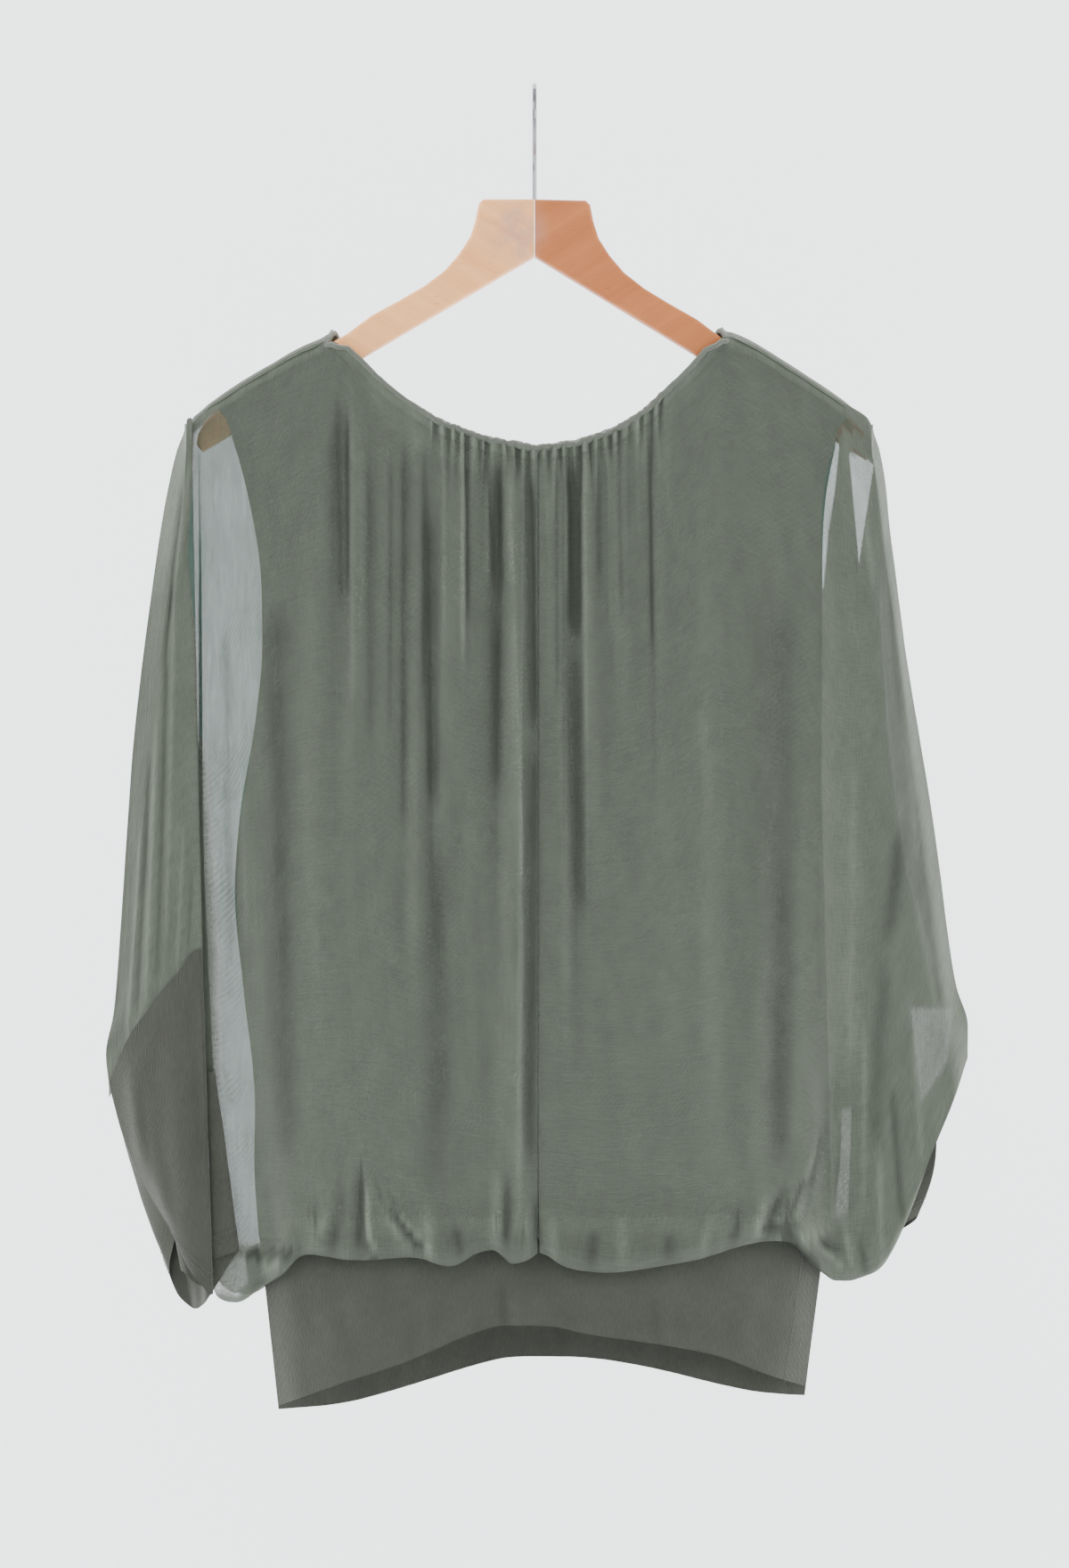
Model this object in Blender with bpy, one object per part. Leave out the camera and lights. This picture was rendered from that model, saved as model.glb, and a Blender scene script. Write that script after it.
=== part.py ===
"""Draped blouse on a wooden hanger.

A sheer batwing blouse with an opaque vest inside, a gathered neck, jersey cuffs and a jersey hip band, hung on
a flat wooden hanger with a wire hook. Metres, +Z up, +Y to the back. The origin is where the hook rests.
"""

import math

import bmesh
import bpy
import numpy as np

# Driving dimensions, in metres
CHIFFON_WALL = 0.0010
LINING_WALL = 0.0010
JERSEY_WALL = 0.0014
SEAM_GAP = 0.0003
CENTRE_SEAM = 0.0026      # x of the stitched seam down the front
CHIFFON_LIFT = 0.0110     # middle of the sheer cloth from the hanger's middle plane, over the arms
LINING_LIFT = 0.0076      # middle of the vest's cloth from the same plane, over the arms
WEB_OFFSET = 0.0042       # sheer cloth from the middle plane where nothing lies under it
VEST_OFFSET = 0.0010      # vest's cloth from the same plane
EDGE_OFFSET = 0.0008      # either panel from the same plane at a seam that joins front and back
LAYER_STEP = 0.0030       # from one layer of a pleat to the next
HEM_ROLL = 0.0100         # height of the roll where the bloused cloth turns in to the band
HEM_ROLL_SHARE = 0.96     # share of a half turn that the roll makes where it meets the band
CUT_END = 0.0006          # fall of the last rows where a panel is cut at the cuff
BAND_CLEAR = 0.0021       # from the band's cloth to the sheer cloth that turns in to it
VEST_DROP = 0.0012        # the vest's neck edge lies this far below the sheer cloth's
VEST_END = 0.0012         # the vest ends this far above the band
CASING_RADIUS = 0.0013    # of the rolled neck edge
CASING_CLEAR = 0.0023     # from the panels' neck edge to the middle of the roll
CASING_BESIDE = 0.0056    # the same where the edge runs over an arm
CASING_INSET = 0.0008     # the roll sits this far in from the sheer cloth, over the vest's edge too
NECK_DROP = 0.0052        # the panels' neck edge lies this far below the outline, under the roll
NECK_STAND = 0.0015       # height of the narrow stand along the panels' neck edge
BAND_TOP = -0.7445
BAND_BOTTOM = -0.8450
EYE_HEIGHT = -0.450       # height and distance from which the outline sizes were taken
EYE_DISTANCE = 2.35
MM = 0.001

# Upper outline of the cloth, left sleeve head to right sleeve head (mm): x, z
TOP_OUTLINE = (
    (-226, -221), (-220, -213), (-208, -202), (-190, -190), (-171, -179), (-150, -167), (-131, -159),
    (-114, -174), (-102, -186.5), (-87, -199), (-62, -215), (-32, -226), (0, -231.7), (26, -229),
    (52, -220.5), (72, -208.4), (92, -189.4), (104, -177.3), (121, -157.5), (130, -158.5), (146, -167),
    (165, -179), (182, -190), (200, -202), (213.5, -213.5), (220.5, -225), (222, -231),
)
NECK_POINTS = (-0.131, 0.121)           # where the neck edge meets the arms
NECK_BLEND = 0.005                      # half the length over which it turns on to them

# Outer edges of the sleeves (mm): z, left x, right x
SLEEVE_EDGES = (
    (-221, -226, 219), (-231, -230, 222), (-242, -233, 225), (-265, -238, 227.5), (-288, -242, 230),
    (-334, -248.5, 236), (-380, -254.5, 242), (-432, -260, 251), (-490, -264, 260), (-542, -267.5, 266.5),
    (-582, -270.5, 273), (-601, -272.5, 280), (-625, -277, 280), (-646, -275, 273),
)

# Sides of the opaque vest: armholes above, side seams below (mm): z, left x, right x
VEST_SIDES = (
    (-205, -204, 203), (-225, -196, 197), (-248, -189, 190.5), (-290, -180, 186.5), (-338, -175.5, 186),
    (-390, -178, 189), (-440, -185, 194), (-500, -194, 198), (-560, -191, 198.5), (-640, -181, 198),
    (-700, -181, 197), (-744, -178, 188),
)
ARMHOLE_FOOT = (0.470, 0.520)           # how far down the armhole closes into the side seam
VEST_INTO_BAND = (0.680, 0.730)         # how far down the vest's round becomes the band's

# Lower edge of the bloused cloth (mm): x, z
HEM_OUTLINE = (
    (-153, -754), (-113, -759), (-78, -757), (-55, -763), (-29, -752), (-11, -762), (4, -754),
    (17, -762), (46, -767), (81, -763), (107, -758), (127, -752), (141, -748), (165, -746),
)

# How the body rounds out down the garment (mm): z, half depth, half width
BODY_DEPTH = (
    (-160, 2, 199), (-230, 9, 199), (-300, 15, 199), (-400, 23, 199), (-500, 30, 199), (-600, 36, 196),
    (-700, 41, 188), (-770, 42, 184),
)
BODY_MIDDLE = 0.004
VEST_NARROWER = 0.012     # the vest's round is this much narrower than the sheer cloth's, to either side

# Hem of the jersey band (mm): x, z at the front, z at the back
BAND_HEM = (
    (-166, -852, -854), (-124, -837, -850), (-82, -823, -839), (-47, -808, -828), (-20, -800, -821),
    (4, -800, -820), (37, -806, -821), (79, -812, -828), (120, -820, -838), (146, -830, -843),
    (174, -839, -845),
)
BAND_SIDES_TOP = (-0.1775, 0.1875)
BAND_SIDES_LOW = (-0.1655, 0.1745)
BAND_DEPTHS = (0.0240, 0.0290)          # half depth at the top and at the hem
BAND_COLUMNS, BAND_ROWS = 22, 5

# Folds down the front (mm): x at the neck, x halfway, x at the hem, height, and where along the fall it
# starts and ends, from 0 to 1. A negative height is a trough.
FOLDS = (
    (-152, -152, -146, -1.2, 0.15, 0.90),
    (-138, -136, -130, 1.6, 0.05, 0.80),
    (-125, -125, -120, -1.4, 0.02, 0.55),
    (-115, -116, -112, 2.2, 0.02, 0.60),
    (-104, -106, -102, -1.2, 0.02, 0.45),
    (-92, -94, -92, 2.0, 0.02, 0.50),
    (-82, -83, -81, -1.3, 0.02, 0.80),
    (-73, -74, -72, 2.4, 0.00, 0.75),
    (-64, -66, -64, -1.5, 0.00, 0.95),
    (-55, -57, -56, 2.0, 0.00, 0.60),
    (-46, -46, -47, 3.6, 0.00, 0.50),
    (-37, -37, -38, 1.5, 0.00, 0.70),
    (-28, -25, -27, -1.6, 0.00, 0.55),
    (-18, -12, -14, 5.5, 0.00, 1.00),
    (-8, -4, -5, -1.5, 0.00, 1.00),
    (8, 8, 9, 1.6, 0.00, 0.85),
    (16, 16, 18, 3.2, 0.00, 0.80),
    (25, 25, 27, -1.6, 0.00, 0.90),
    (33, 34, 37, 3.4, 0.00, 0.60),
    (42, 44, 48, -1.2, 0.00, 0.55),
    (52, 54, 58, 2.4, 0.00, 0.45),
    (63, 66, 70, -1.2, 0.02, 0.40),
    (73, 77, 81, 2.2, 0.02, 0.40),
    (85, 90, 95, -1.0, 0.05, 0.60),
    (101, 106, 110, 1.6, 0.10, 0.90),
    (122, 124, 123, -1.0, 0.15, 1.00),
    (142, 144, 138, 1.8, 0.15, 1.00),
    (160, 160, 152, -1.3, 0.15, 1.00),
)
FOLD_SPREAD = 0.0062      # half width of a fold

# More lines down the front, where the neck edge turns over the arms, in the first three columns
NECK_LINES = ((-134, -132, -127), (-129, -129, -124), (112, 115, 116), (118, 120, 120), (127, 131, 129))

# Lines down the front's sleeve parts, left to right (mm): x at the top, x halfway, x at the end, z of the
# end, layer (0 is the sleeve's edge, 1 the cloth next to the back, higher ones lie before it in a pleat),
# way that a pleat turns there (-1 left, 1 right), and finish of the end (0 cut at the cuff's seam,
# 0.5 closed against the back, 1 rolled in to the band)
LEFT_LINES = (
    (-226, -256, -275, -646, 0.0, 0, 0.0),
    (-225, -243, -252, -597, 3.0, 0, 0.0),
    (-222, -219, -215, -556, 3.0, 1, 0.0),
    (-223, -234, -232, -573, 2.0, 0, 0.0),
    (-224, -249, -250, -590, 1.5, -1, 0.0),
    (-221, -232, -228, -612, 1.0, 0, 0.0),
    (-218, -218, -211, -637, 1.0, 0, 0.0),
    (-214, -211, -206, -780, 1.0, 0, 0.5),
    (-210, -199, -193, -785, 1.0, 0, 0.5),
    (-202, -187, -181, -779, 1.0, 0, 0.5),
    (-188, -172, -164, -768, 1.0, 0, 0.8),
)
RIGHT_LINES = (
    (175, 173, 166, -748, 1.0, 0, 1.0),
    (190, 186, 181, -762, 1.0, 0, 0.8),
    (199, 194, 195, -771, 1.0, 0, 0.5),
    (206, 214, 216, -771, 1.6, 1, 0.5),
    (202, 198, 205, -772, 2.4, -1, 0.5),
    (208, 212, 222, -764, 3.0, 0, 0.5),
    (217, 236, 240, -727, 3.6, 1, 0.5),
    (214, 226, 238, -738, 4.0, 0, 0.5),
    (211, 216, 236, -742, 4.4, -1, 0.5),
    (217, 237, 256, -690, 4.0, 0, 0.0),
    (219, 251, 277, -626, 0.0, 0, 0.0),
)

# Lines down the back, in the same columns without the pleat's turn
BACK_LINES = (
    (-226, -256, -275, -646, 0.0, 0.0),
    (-223, -246, -254, -618, 0.8, 0.0),
    (-220, -231, -231, -618, 1.0, 0.0),
    (-217, -218, -211, -637, 1.0, 0.0),
    (-214, -211, -206, -780, 1.0, 0.5),
    (-210, -199, -193, -785, 1.0, 0.5),
    (-202, -187, -181, -779, 1.0, 0.5),
    (-188, -172, -164, -768, 1.0, 0.8),
    (-172, -162, -152, -757, 1.0, 1.0),
    (-153, -148, -141, -756, 1.0, 1.0),
    (-140, -137, -132, -757, 1.0, 1.0),
    (-134, -130, -124, -757, 1.0, 1.0),
    (-131, -125, -118, -757, 1.0, 1.0),
    (-128, -120, -112, -758, 1.0, 1.0),
    (-121, -112, -104, -758, 1.0, 1.0),
    (-110, -104, -95, -757, 1.0, 1.0),
    (-96, -90, -82, -757, 1.0, 1.0),
    (-78, -74, -66, -760, 1.0, 1.0),
    (-58, -56, -50, -759, 1.0, 1.0),
    (-38, -36, -33, -756, 1.0, 1.0),
    (-18, -17, -16, -760, 1.0, 1.0),
    (2, 2, 2, -757, 1.0, 1.0),
    (22, 21, 20, -760, 1.0, 1.0),
    (42, 41, 38, -762, 1.0, 1.0),
    (60, 60, 56, -759, 1.0, 1.0),
    (76, 78, 74, -762, 1.0, 1.0),
    (90, 94, 92, -758, 1.0, 1.0),
    (102, 106, 105, -757, 1.0, 1.0),
    (111, 114, 113, -755, 1.0, 1.0),
    (117, 120, 120, -753, 1.0, 1.0),
    (121, 126, 126, -752, 1.0, 1.0),
    (125, 131, 132, -751, 1.0, 1.0),
    (133, 138, 139, -750, 1.0, 1.0),
    (148, 151, 151, -748, 1.0, 1.0),
    (165, 165, 164, -748, 1.0, 1.0),
    (186, 182, 181, -762, 1.0, 0.8),
    (199, 194, 195, -771, 1.0, 0.5),
    (205, 206, 208, -770, 1.0, 0.5),
    (210, 218, 226, -758, 1.0, 0.5),
    (214, 230, 240, -727, 1.0, 0.5),
    (217, 243, 256, -690, 0.8, 0.0),
    (219, 251, 277, -626, 0.0, 0.0),
)

# Left cuff, a jersey tube laid in one pleat, in order round it (mm): x and z at the seam, x and z at the
# hem, and y at the seam and at the hem
LEFT_CUFF = (
    (-274, -648.5, -232, -742, -1.5, -2.0),
    (-262, -619, -229, -752, -9.0, -10.0),
    (-247, -597.5, -223, -764, -11.5, -13.0),
    (-231, -578, -215, -774, -12.5, -14.5),
    (-217, -562, -209, -780, -12.6, -14.5),
    (-214.5, -563, -207.5, -779, -11.2, -13.0),
    (-217, -567, -209, -777, -9.8, -11.8),
    (-230, -593, -220, -772, -8.8, -11.0),
    (-240, -607, -226, -766, -8.2, -10.4),
    (-242.5, -612, -228.5, -764, -6.2, -8.6),
    (-239, -617, -225, -763, -4.2, -6.8),
    (-222, -637, -207, -757, -6.4, -9.4),
    (-208, -641, -193, -752, -8.6, -10.4),
    (-205.5, -642, -190.5, -751, -7.2, -9.0),
    (-208.5, -642, -195, -757, -5.9, -7.4),
    (-214, -641, -212, -784, -5.6, -6.4),
    (-217, -639, -215, -787, 1.5, 1.0),
    (-226, -631, -218, -789, 3.5, 4.0),
    (-240, -624, -222, -788, 4.5, 8.0),
    (-256, -626, -231, -779, 4.5, 8.0),
    (-270, -643, -236, -762, 2.0, 3.5),
)

# Right cuff, tucked behind the sleeve, in the same columns
RIGHT_CUFF = (
    (285.5, -612, 251, -729, 0.8, 7.5),
    (280, -632, 243, -733, 2.4, 6.0),
    (268, -668, 234, -738, 4.3, 5.4),
    (250, -664, 225, -744, 6.0, 6.6),
    (234.5, -640, 217, -752, 7.9, 8.4),
    (220.5, -622, 209, -756, 8.6, 9.5),
    (207, -634, 204, -753, 9.0, 11.0),
    (205.5, -640, 202.5, -751, 12.5, 14.5),
    (211, -630, 207, -753, 16.0, 18.5),
    (230, -650, 220, -747, 18.9, 21.0),
    (246, -668, 235, -739, 17.6, 19.5),
    (267.5, -640, 247, -732, 10.6, 13.5),
)
CUFF_ROWS = 7
CUFF_BOW = 0.006          # how far the cuffs' sides bow outwards

# Hanger: outline of one arm, from the joint's top out to the tip and back to the joint's foot (mm): x, z
ARM_OUTLINE = (
    (0.15, -72.8), (33, -73.2), (36, -76), (38, -86.5), (41.5, -97.5), (48.5, -108.5), (58, -119.5),
    (71, -129.5), (87, -139), (105, -149), (121, -161), (131, -167), (150, -176.5), (171, -188), (190, -200),
    (206, -212), (213, -219.5), (217, -227), (218, -234), (214.5, -238), (150, -199.5), (75, -154.5),
    (20, -121.5), (0.15, -109.6),
)
ARM_THICKNESS = 0.012
ARM_EDGE = 0.0022         # rounding of the arms' edges
HANGER_TILT = 0.0122      # fall of the hanger to the right for each metre across
ARM_FOOT_MIDDLE = -0.112  # height of the arms' lower edge in the middle
ARM_FOOT_SLOPE = 0.60     # its fall for each metre out
COVER_FADE = (0.002, 0.060)   # how far below the arms the cloth begins and ends leaving their round

# Hook: the wire's path from its open end over the top and down to the block (mm): y, z
HOOK_WIRE = 0.0028
HOOK_RADIUS = 0.0194      # of the bend, to the middle of the wire
HOOK_OPEN_ANGLE = 105     # how far the bend runs down behind, in degrees from its top
HOOK_NECK = ((-16.2, -28.8), (-11.0, -37.0), (-4.6, -43.4), (-0.6, -49.0), (0.0, -54.0), (0.0, -72.5))

# Rows down a panel, as shares of the fall
FALL = np.array([0.0, 0.03, 0.08, 0.15, 0.25, 0.36, 0.48, 0.60, 0.71, 0.81, 0.89, 0.95, 1.0])
VEST_FALL = np.array([0.0, 0.04, 0.10, 0.18, 0.28, 0.38, 0.48, 0.58, 0.70, 0.82, 0.92, 1.0])
VEST_COLUMNS = (-204, -194, -178, -158, -140, -135, -131, -127, -120, -104, -82, -58, -32, -4, 24, 50, 74, 94,
                110, 117, 121, 125, 131, 148, 168, 186, 195, 203)     # top x (mm)
ROLL_STEPS = np.array([0.34, 0.67, 1.0])
SEAM_ANGLE = math.radians(50)           # the shoulder seam lies this far forward of the arm's top
SEAM_TURN = 0.15                        # angle left open between front and back at that seam
VEST_SEAM_TURN = 0.21                   # the same for the vest
TIP_RECEDES = 0.35                      # share of the back's turn over the arm that is lost at its tip
TIP_FROM, TIP_TO = 0.206, 0.222         # where along the arm that loss begins and is whole
HALF_WAY = (0.0, 0.5, 1.0)
TURN_ROOM = 0.2                         # least length left of a step on the inside of a turn, as a share
TURN_EASE = 0.8                         # a wall that would cross itself there is drawn in by this, a few times
TURN_TRIES = 9
MITRE_LIMIT = 0.62                      # a wall's normals grow by one over this at most, at a sharp turn
TINY = 1e-12


def clear_scene():
    """Start from an empty scene."""
    for item in list(bpy.data.objects):
        bpy.data.objects.remove(item, do_unlink=True)


def column(rows, index):
    """One column of a table in millimetres, as metres."""
    return np.array([row[index] for row in rows], dtype=float) * MM


def smooth_through(keys, values, at):
    """A smooth curve through the points (keys, values), read at the places in at."""
    keys = np.asarray(keys, dtype=float)
    values = np.asarray(values, dtype=float)
    at = np.clip(at, keys[0], keys[-1])
    steps = np.diff(values) / np.diff(keys)
    slopes = np.concatenate(([steps[0]], (steps[1:] + steps[:-1]) / 2.0, [steps[-1]]))
    turning = np.concatenate(([False], steps[1:] * steps[:-1] <= 0, [False]))
    slopes[turning] = 0.0
    index = np.clip(np.searchsorted(keys, at) - 1, 0, len(keys) - 2)
    span = keys[index + 1] - keys[index]
    part = (at - keys[index]) / span
    rise = 3 * part ** 2 - 2 * part ** 3
    return (values[index] + (values[index + 1] - values[index]) * rise
            + span * slopes[index] * (part ** 3 - 2 * part ** 2 + part)
            + span * slopes[index + 1] * (part ** 3 - part ** 2))


def ease(value, low, high):
    """0 below low, 1 above high, and a smooth step between them."""
    part = np.clip((value - low) / (high - low), 0.0, 1.0)
    return part * part * (3 - 2 * part)


def top_outline(x):
    """Height of the upper outline at x."""
    return np.interp(x, column(TOP_OUTLINE, 0), column(TOP_OUTLINE, 1))


def on_shoulder(x):
    """1 where the cloth lies over the hanger's arms, 0 in the neck opening."""
    left, right = NECK_POINTS
    inside = ease(x, left - NECK_BLEND, left + NECK_BLEND)
    return 1.0 - inside * (1.0 - ease(x, right - NECK_BLEND, right + NECK_BLEND))


def arm_cover(x, z):
    """1 over the hanger's arms, fading to 0 below them."""
    arm_foot = ARM_FOOT_MIDDLE - ARM_FOOT_SLOPE * np.abs(x)
    return 1.0 - ease(arm_foot - z, *COVER_FADE)


def stand_off(x, z, lift, narrower=0.0):
    """Distance from the middle plane of cloth that clears the arms by lift and rounds over the body."""
    keys = column(BODY_DEPTH, 0)[::-1]
    depth = smooth_through(keys, column(BODY_DEPTH, 1)[::-1], z)
    half_width = smooth_through(keys, column(BODY_DEPTH, 2)[::-1], z) - narrower
    across = np.clip(1.0 - ((x - BODY_MIDDLE) / half_width) ** 2, 0.0, 1.0)
    return np.hypot(depth * np.sqrt(across), lift * arm_cover(x, z))


def band_depth(x, z):
    """Half depth of the hip band at x, z, and the seam's own at its sides."""
    down = (BAND_TOP - z) / (BAND_TOP - BAND_BOTTOM)
    left = BAND_SIDES_TOP[0] + (BAND_SIDES_LOW[0] - BAND_SIDES_TOP[0]) * down
    right = BAND_SIDES_TOP[1] + (BAND_SIDES_LOW[1] - BAND_SIDES_TOP[1]) * down
    depth = BAND_DEPTHS[0] + (BAND_DEPTHS[1] - BAND_DEPTHS[0]) * down
    across = np.clip((x - left) / (right - left), 0.0, 1.0)
    edge = EDGE_OFFSET + (JERSEY_WALL - CHIFFON_WALL) / 2
    return edge + (depth - edge) * np.sqrt(np.sin(math.pi * across))


def seen_true(points):
    """Move points from the outline as seen at the hanger's plane to their true place at their depth."""
    scale = (EYE_DISTANCE + points[..., 1]) / EYE_DISTANCE
    moved = points.copy()
    moved[..., 0] = points[..., 0] * scale
    moved[..., 2] = EYE_HEIGHT + (points[..., 2] - EYE_HEIGHT) * scale
    return moved


def fold_relief(x):
    """Height of the front's folds down a column whose places across are x."""
    height = np.zeros_like(FALL)
    for top_x, mid_x, low_x, high, start, end in FOLDS:
        centre = smooth_through(HALF_WAY, (top_x * MM, mid_x * MM, low_x * MM), FALL)
        fade = ease(FALL, start - 0.02, start + 0.05) * (1.0 - ease(FALL, end - 0.25, end + 0.02))
        height += high * MM * fade * np.exp(-((x - centre) / FOLD_SPREAD) ** 2)
    return height


def line_path(top_x, mid_x, low_x, low_z):
    """Positions x and z down one line of a panel, for the shares in FALL (sizes in mm)."""
    x = smooth_through(HALF_WAY, (top_x * MM, mid_x * MM, low_x * MM), FALL)
    top_z = top_outline(top_x * MM)
    return x, top_z + (low_z * MM - top_z) * FALL


def sleeve_edge_path(side, low_z):
    """Positions x and z down a sleeve's outer edge, for the shares in FALL (low_z in mm)."""
    keys = column(SLEEVE_EDGES, 0)[::-1]
    values = column(SLEEVE_EDGES, 1 if side < 0 else 2)[::-1]
    z = keys[-1] + (low_z * MM - keys[-1]) * FALL
    return smooth_through(keys, values, z), z


def arm_arch(x, centre_z, radius, shoulder, facing, seam_turn):
    """The first points of a column, round the arm from the shoulder seam, or a narrow stand at the neck."""
    start = math.pi / 2 - shoulder * (math.pi / 2 - SEAM_ANGLE)
    if facing > 0:
        at_tip = ease(abs(x), TIP_FROM, TIP_TO)
        start = math.pi / 2 - shoulder * (math.pi / 2 + SEAM_ANGLE - seam_turn) * (1 - TIP_RECEDES * at_tip)
    angles = np.linspace(start, math.pi / 2, 3 if facing < 0 else 6)[:-1]
    stand = (1 - shoulder) * NECK_STAND * np.arange(len(angles), 0, -1) / len(angles)
    y = facing * radius * np.sin(angles)
    return np.stack([x + 0 * angles, y, centre_z + radius * np.cos(angles) + stand], axis=1)


def panel_column(path, offset, finish_share, facing, edge=False):
    """Points down one column of a sheer panel: over the arm, down the fall and round its lower end.

    facing is -1 for the front and 1 for the back. finish_share is 0 where the end is cut at the cuff,
    0.5 where it closes against the other panel and 1 where it rolls in and up to the band.
    """
    x, z = path
    shoulder = 0.0 if edge else on_shoulder(x[0])
    centre_z = z[0] - shoulder * CHIFFON_LIFT - (0.0 if edge else (1 - shoulder) * NECK_DROP)
    turned = ease(finish_share, 0.0, 0.5)
    fall_z = z + (centre_z - z[0]) * (1.0 - FALL) + turned * HEM_ROLL * FALL
    away = offset + np.zeros_like(x)
    if not edge:
        away = away + stand_off(x, z, CHIFFON_LIFT - WEB_OFFSET)
    if facing < 0 and finish_share >= 1:
        away = away + fold_relief(x)
    arch = arm_arch(x[0], centre_z, away[0], shoulder, facing, SEAM_TURN)
    fall = np.stack([x, facing * away, fall_z], axis=1)
    inner = max(EDGE_OFFSET + offset - WEB_OFFSET, EDGE_OFFSET)
    if BAND_SIDES_TOP[0] < x[-1] < BAND_SIDES_TOP[1]:
        inner = band_depth(x[-1], BAND_TOP) + BAND_CLEAR
    reach = math.pi / 2 * (1 + max(0.0, 2 * finish_share - 1) * HEM_ROLL_SHARE)
    closing = turned * (away[-1] - inner) / (1 - math.cos(reach))
    rolled = []
    for a in ROLL_STEPS * reach:
        down = turned * HEM_ROLL * math.sin(a) + (1 - turned) * CUT_END * a
        rolled.append((x[-1], facing * (away[-1] - closing * (1 - math.cos(a))), fall_z[-1] - down))
    return np.concatenate([arch, fall, np.array(rolled)])


def pleat_turn(path, offset, turn):
    """The three columns round the turn of a pleat, from the layer behind to the layer before."""
    x, z = path
    radius = LAYER_STEP / 4
    return [((x, z), offset - radius), ((x + turn * radius, z), offset), ((x, z), offset + radius)]


def hem_height(x):
    """Height in mm of the lowest point of the bloused cloth, x in mm."""
    return smooth_through(column(HEM_OUTLINE, 0), column(HEM_OUTLINE, 1), x * MM) / MM


def sleeve_columns(lines, side, facing):
    """Columns of the sleeve and web part of a panel, left to right."""
    columns = []
    for top_x, mid_x, low_x, low_z, layer, turn, finish_share in lines:
        if layer == 0:
            edge_side = -1 if top_x < 0 else 1
            columns.append(panel_column(sleeve_edge_path(edge_side, low_z), EDGE_OFFSET, 0.0, facing, edge=True))
            continue
        path = line_path(top_x, mid_x, low_x, low_z)
        offset = WEB_OFFSET + LAYER_STEP * (layer - 1)
        if turn == 0:
            columns.append(panel_column(path, offset, finish_share, facing))
            continue
        turns = [panel_column(bend, deep, finish_share, facing) for bend, deep in pleat_turn(path, offset, turn)]
        columns += turns[::-1] if side < 0 else turns
    return columns


def front_panel(side):
    """Middle surface of one half of the front with its sleeve, columns left to right."""
    body = []
    for top_x, mid_x, low_x in sorted([row[:3] for row in FOLDS] + list(NECK_LINES)):
        if np.sign(top_x) == side:
            body.append(panel_column(line_path(top_x, mid_x, low_x, hem_height(low_x)), WEB_OFFSET, 1.0, -1))
    seam_x = (CENTRE_SEAM + side * (SEAM_GAP + CHIFFON_WALL) / 2) / MM
    seam = [panel_column(line_path(seam_x, seam_x, seam_x, hem_height(seam_x)), WEB_OFFSET, 1.0, -1)]
    if side < 0:
        return np.array(sleeve_columns(LEFT_LINES, side, -1) + body + seam)
    return np.array(seam + body + sleeve_columns(RIGHT_LINES, side, -1))


def back_panel():
    """Middle surface of the back with both its sleeves, columns left to right."""
    lines = [(*row[:5], 0, row[5]) for row in BACK_LINES]
    return np.array(sleeve_columns(lines, 1, 1))


def vest_panel(facing):
    """Middle surface of the front or back of the vest, columns left to right."""
    keys, left, right = (column(VEST_SIDES, index)[::-1] for index in range(3))
    columns = []
    for place in VEST_COLUMNS:
        top_x = place * MM
        share = (top_x - left[-1]) / (right[-1] - left[-1])
        shoulder = on_shoulder(top_x)
        centre_z = top_outline(top_x) - shoulder * CHIFFON_LIFT - (1 - shoulder) * (NECK_DROP + VEST_DROP)
        z = centre_z + (BAND_TOP + VEST_END - centre_z) * VEST_FALL
        x = smooth_through(keys, left, z) * (1 - share) + smooth_through(keys, right, z) * share
        away = stand_off(x, z, LINING_LIFT - VEST_OFFSET, VEST_NARROWER) + VEST_OFFSET
        into_band = ease(-z, *VEST_INTO_BAND)
        away = away * (1 - into_band) + band_depth(x, BAND_TOP) * into_band
        if place in (VEST_COLUMNS[0], VEST_COLUMNS[-1]):
            closed = ease(-z, *ARMHOLE_FOOT)
            away = away * (1 - closed) + EDGE_OFFSET * closed
        arch = arm_arch(top_x, centre_z, away[0], shoulder, facing, VEST_SEAM_TURN)
        columns.append(np.concatenate([arch, np.stack([x, facing * away, z], axis=1)]))
    return np.array(columns)


def band_panel(facing):
    """Middle surface of the front or back of the hip band, columns left to right."""
    columns = []
    down = np.linspace(0.0, 1.0, BAND_ROWS)
    for share in np.linspace(0.0, 1.0, BAND_COLUMNS):
        top_x = BAND_SIDES_TOP[0] + (BAND_SIDES_TOP[1] - BAND_SIDES_TOP[0]) * share
        low_x = BAND_SIDES_LOW[0] + (BAND_SIDES_LOW[1] - BAND_SIDES_LOW[0]) * share
        hem = smooth_through(column(BAND_HEM, 0), column(BAND_HEM, 1 if facing < 0 else 2), low_x)
        x = top_x + (low_x - top_x) * down
        z = BAND_TOP + (hem - BAND_TOP) * down
        columns.append(np.stack([x, facing * band_depth(x, z), z], axis=1))
    return np.array(columns)


def cuff_tube(lines):
    """Middle surface of a cuff, a tube whose columns go round it."""
    columns = []
    down = np.linspace(0.0, 1.0, CUFF_ROWS)
    for seam_x, seam_z, hem_x, hem_z, seam_y, hem_y in lines:
        side = np.sign(seam_x)
        x = (seam_x + (hem_x - seam_x) * down) * MM + side * CUFF_BOW * np.sin(math.pi * down)
        z = (seam_z + (hem_z - seam_z) * down) * MM
        y = (seam_y + (hem_y - seam_y) * down) * MM
        columns.append(np.stack([x, y, z], axis=1))
    return np.array(columns)


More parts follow.
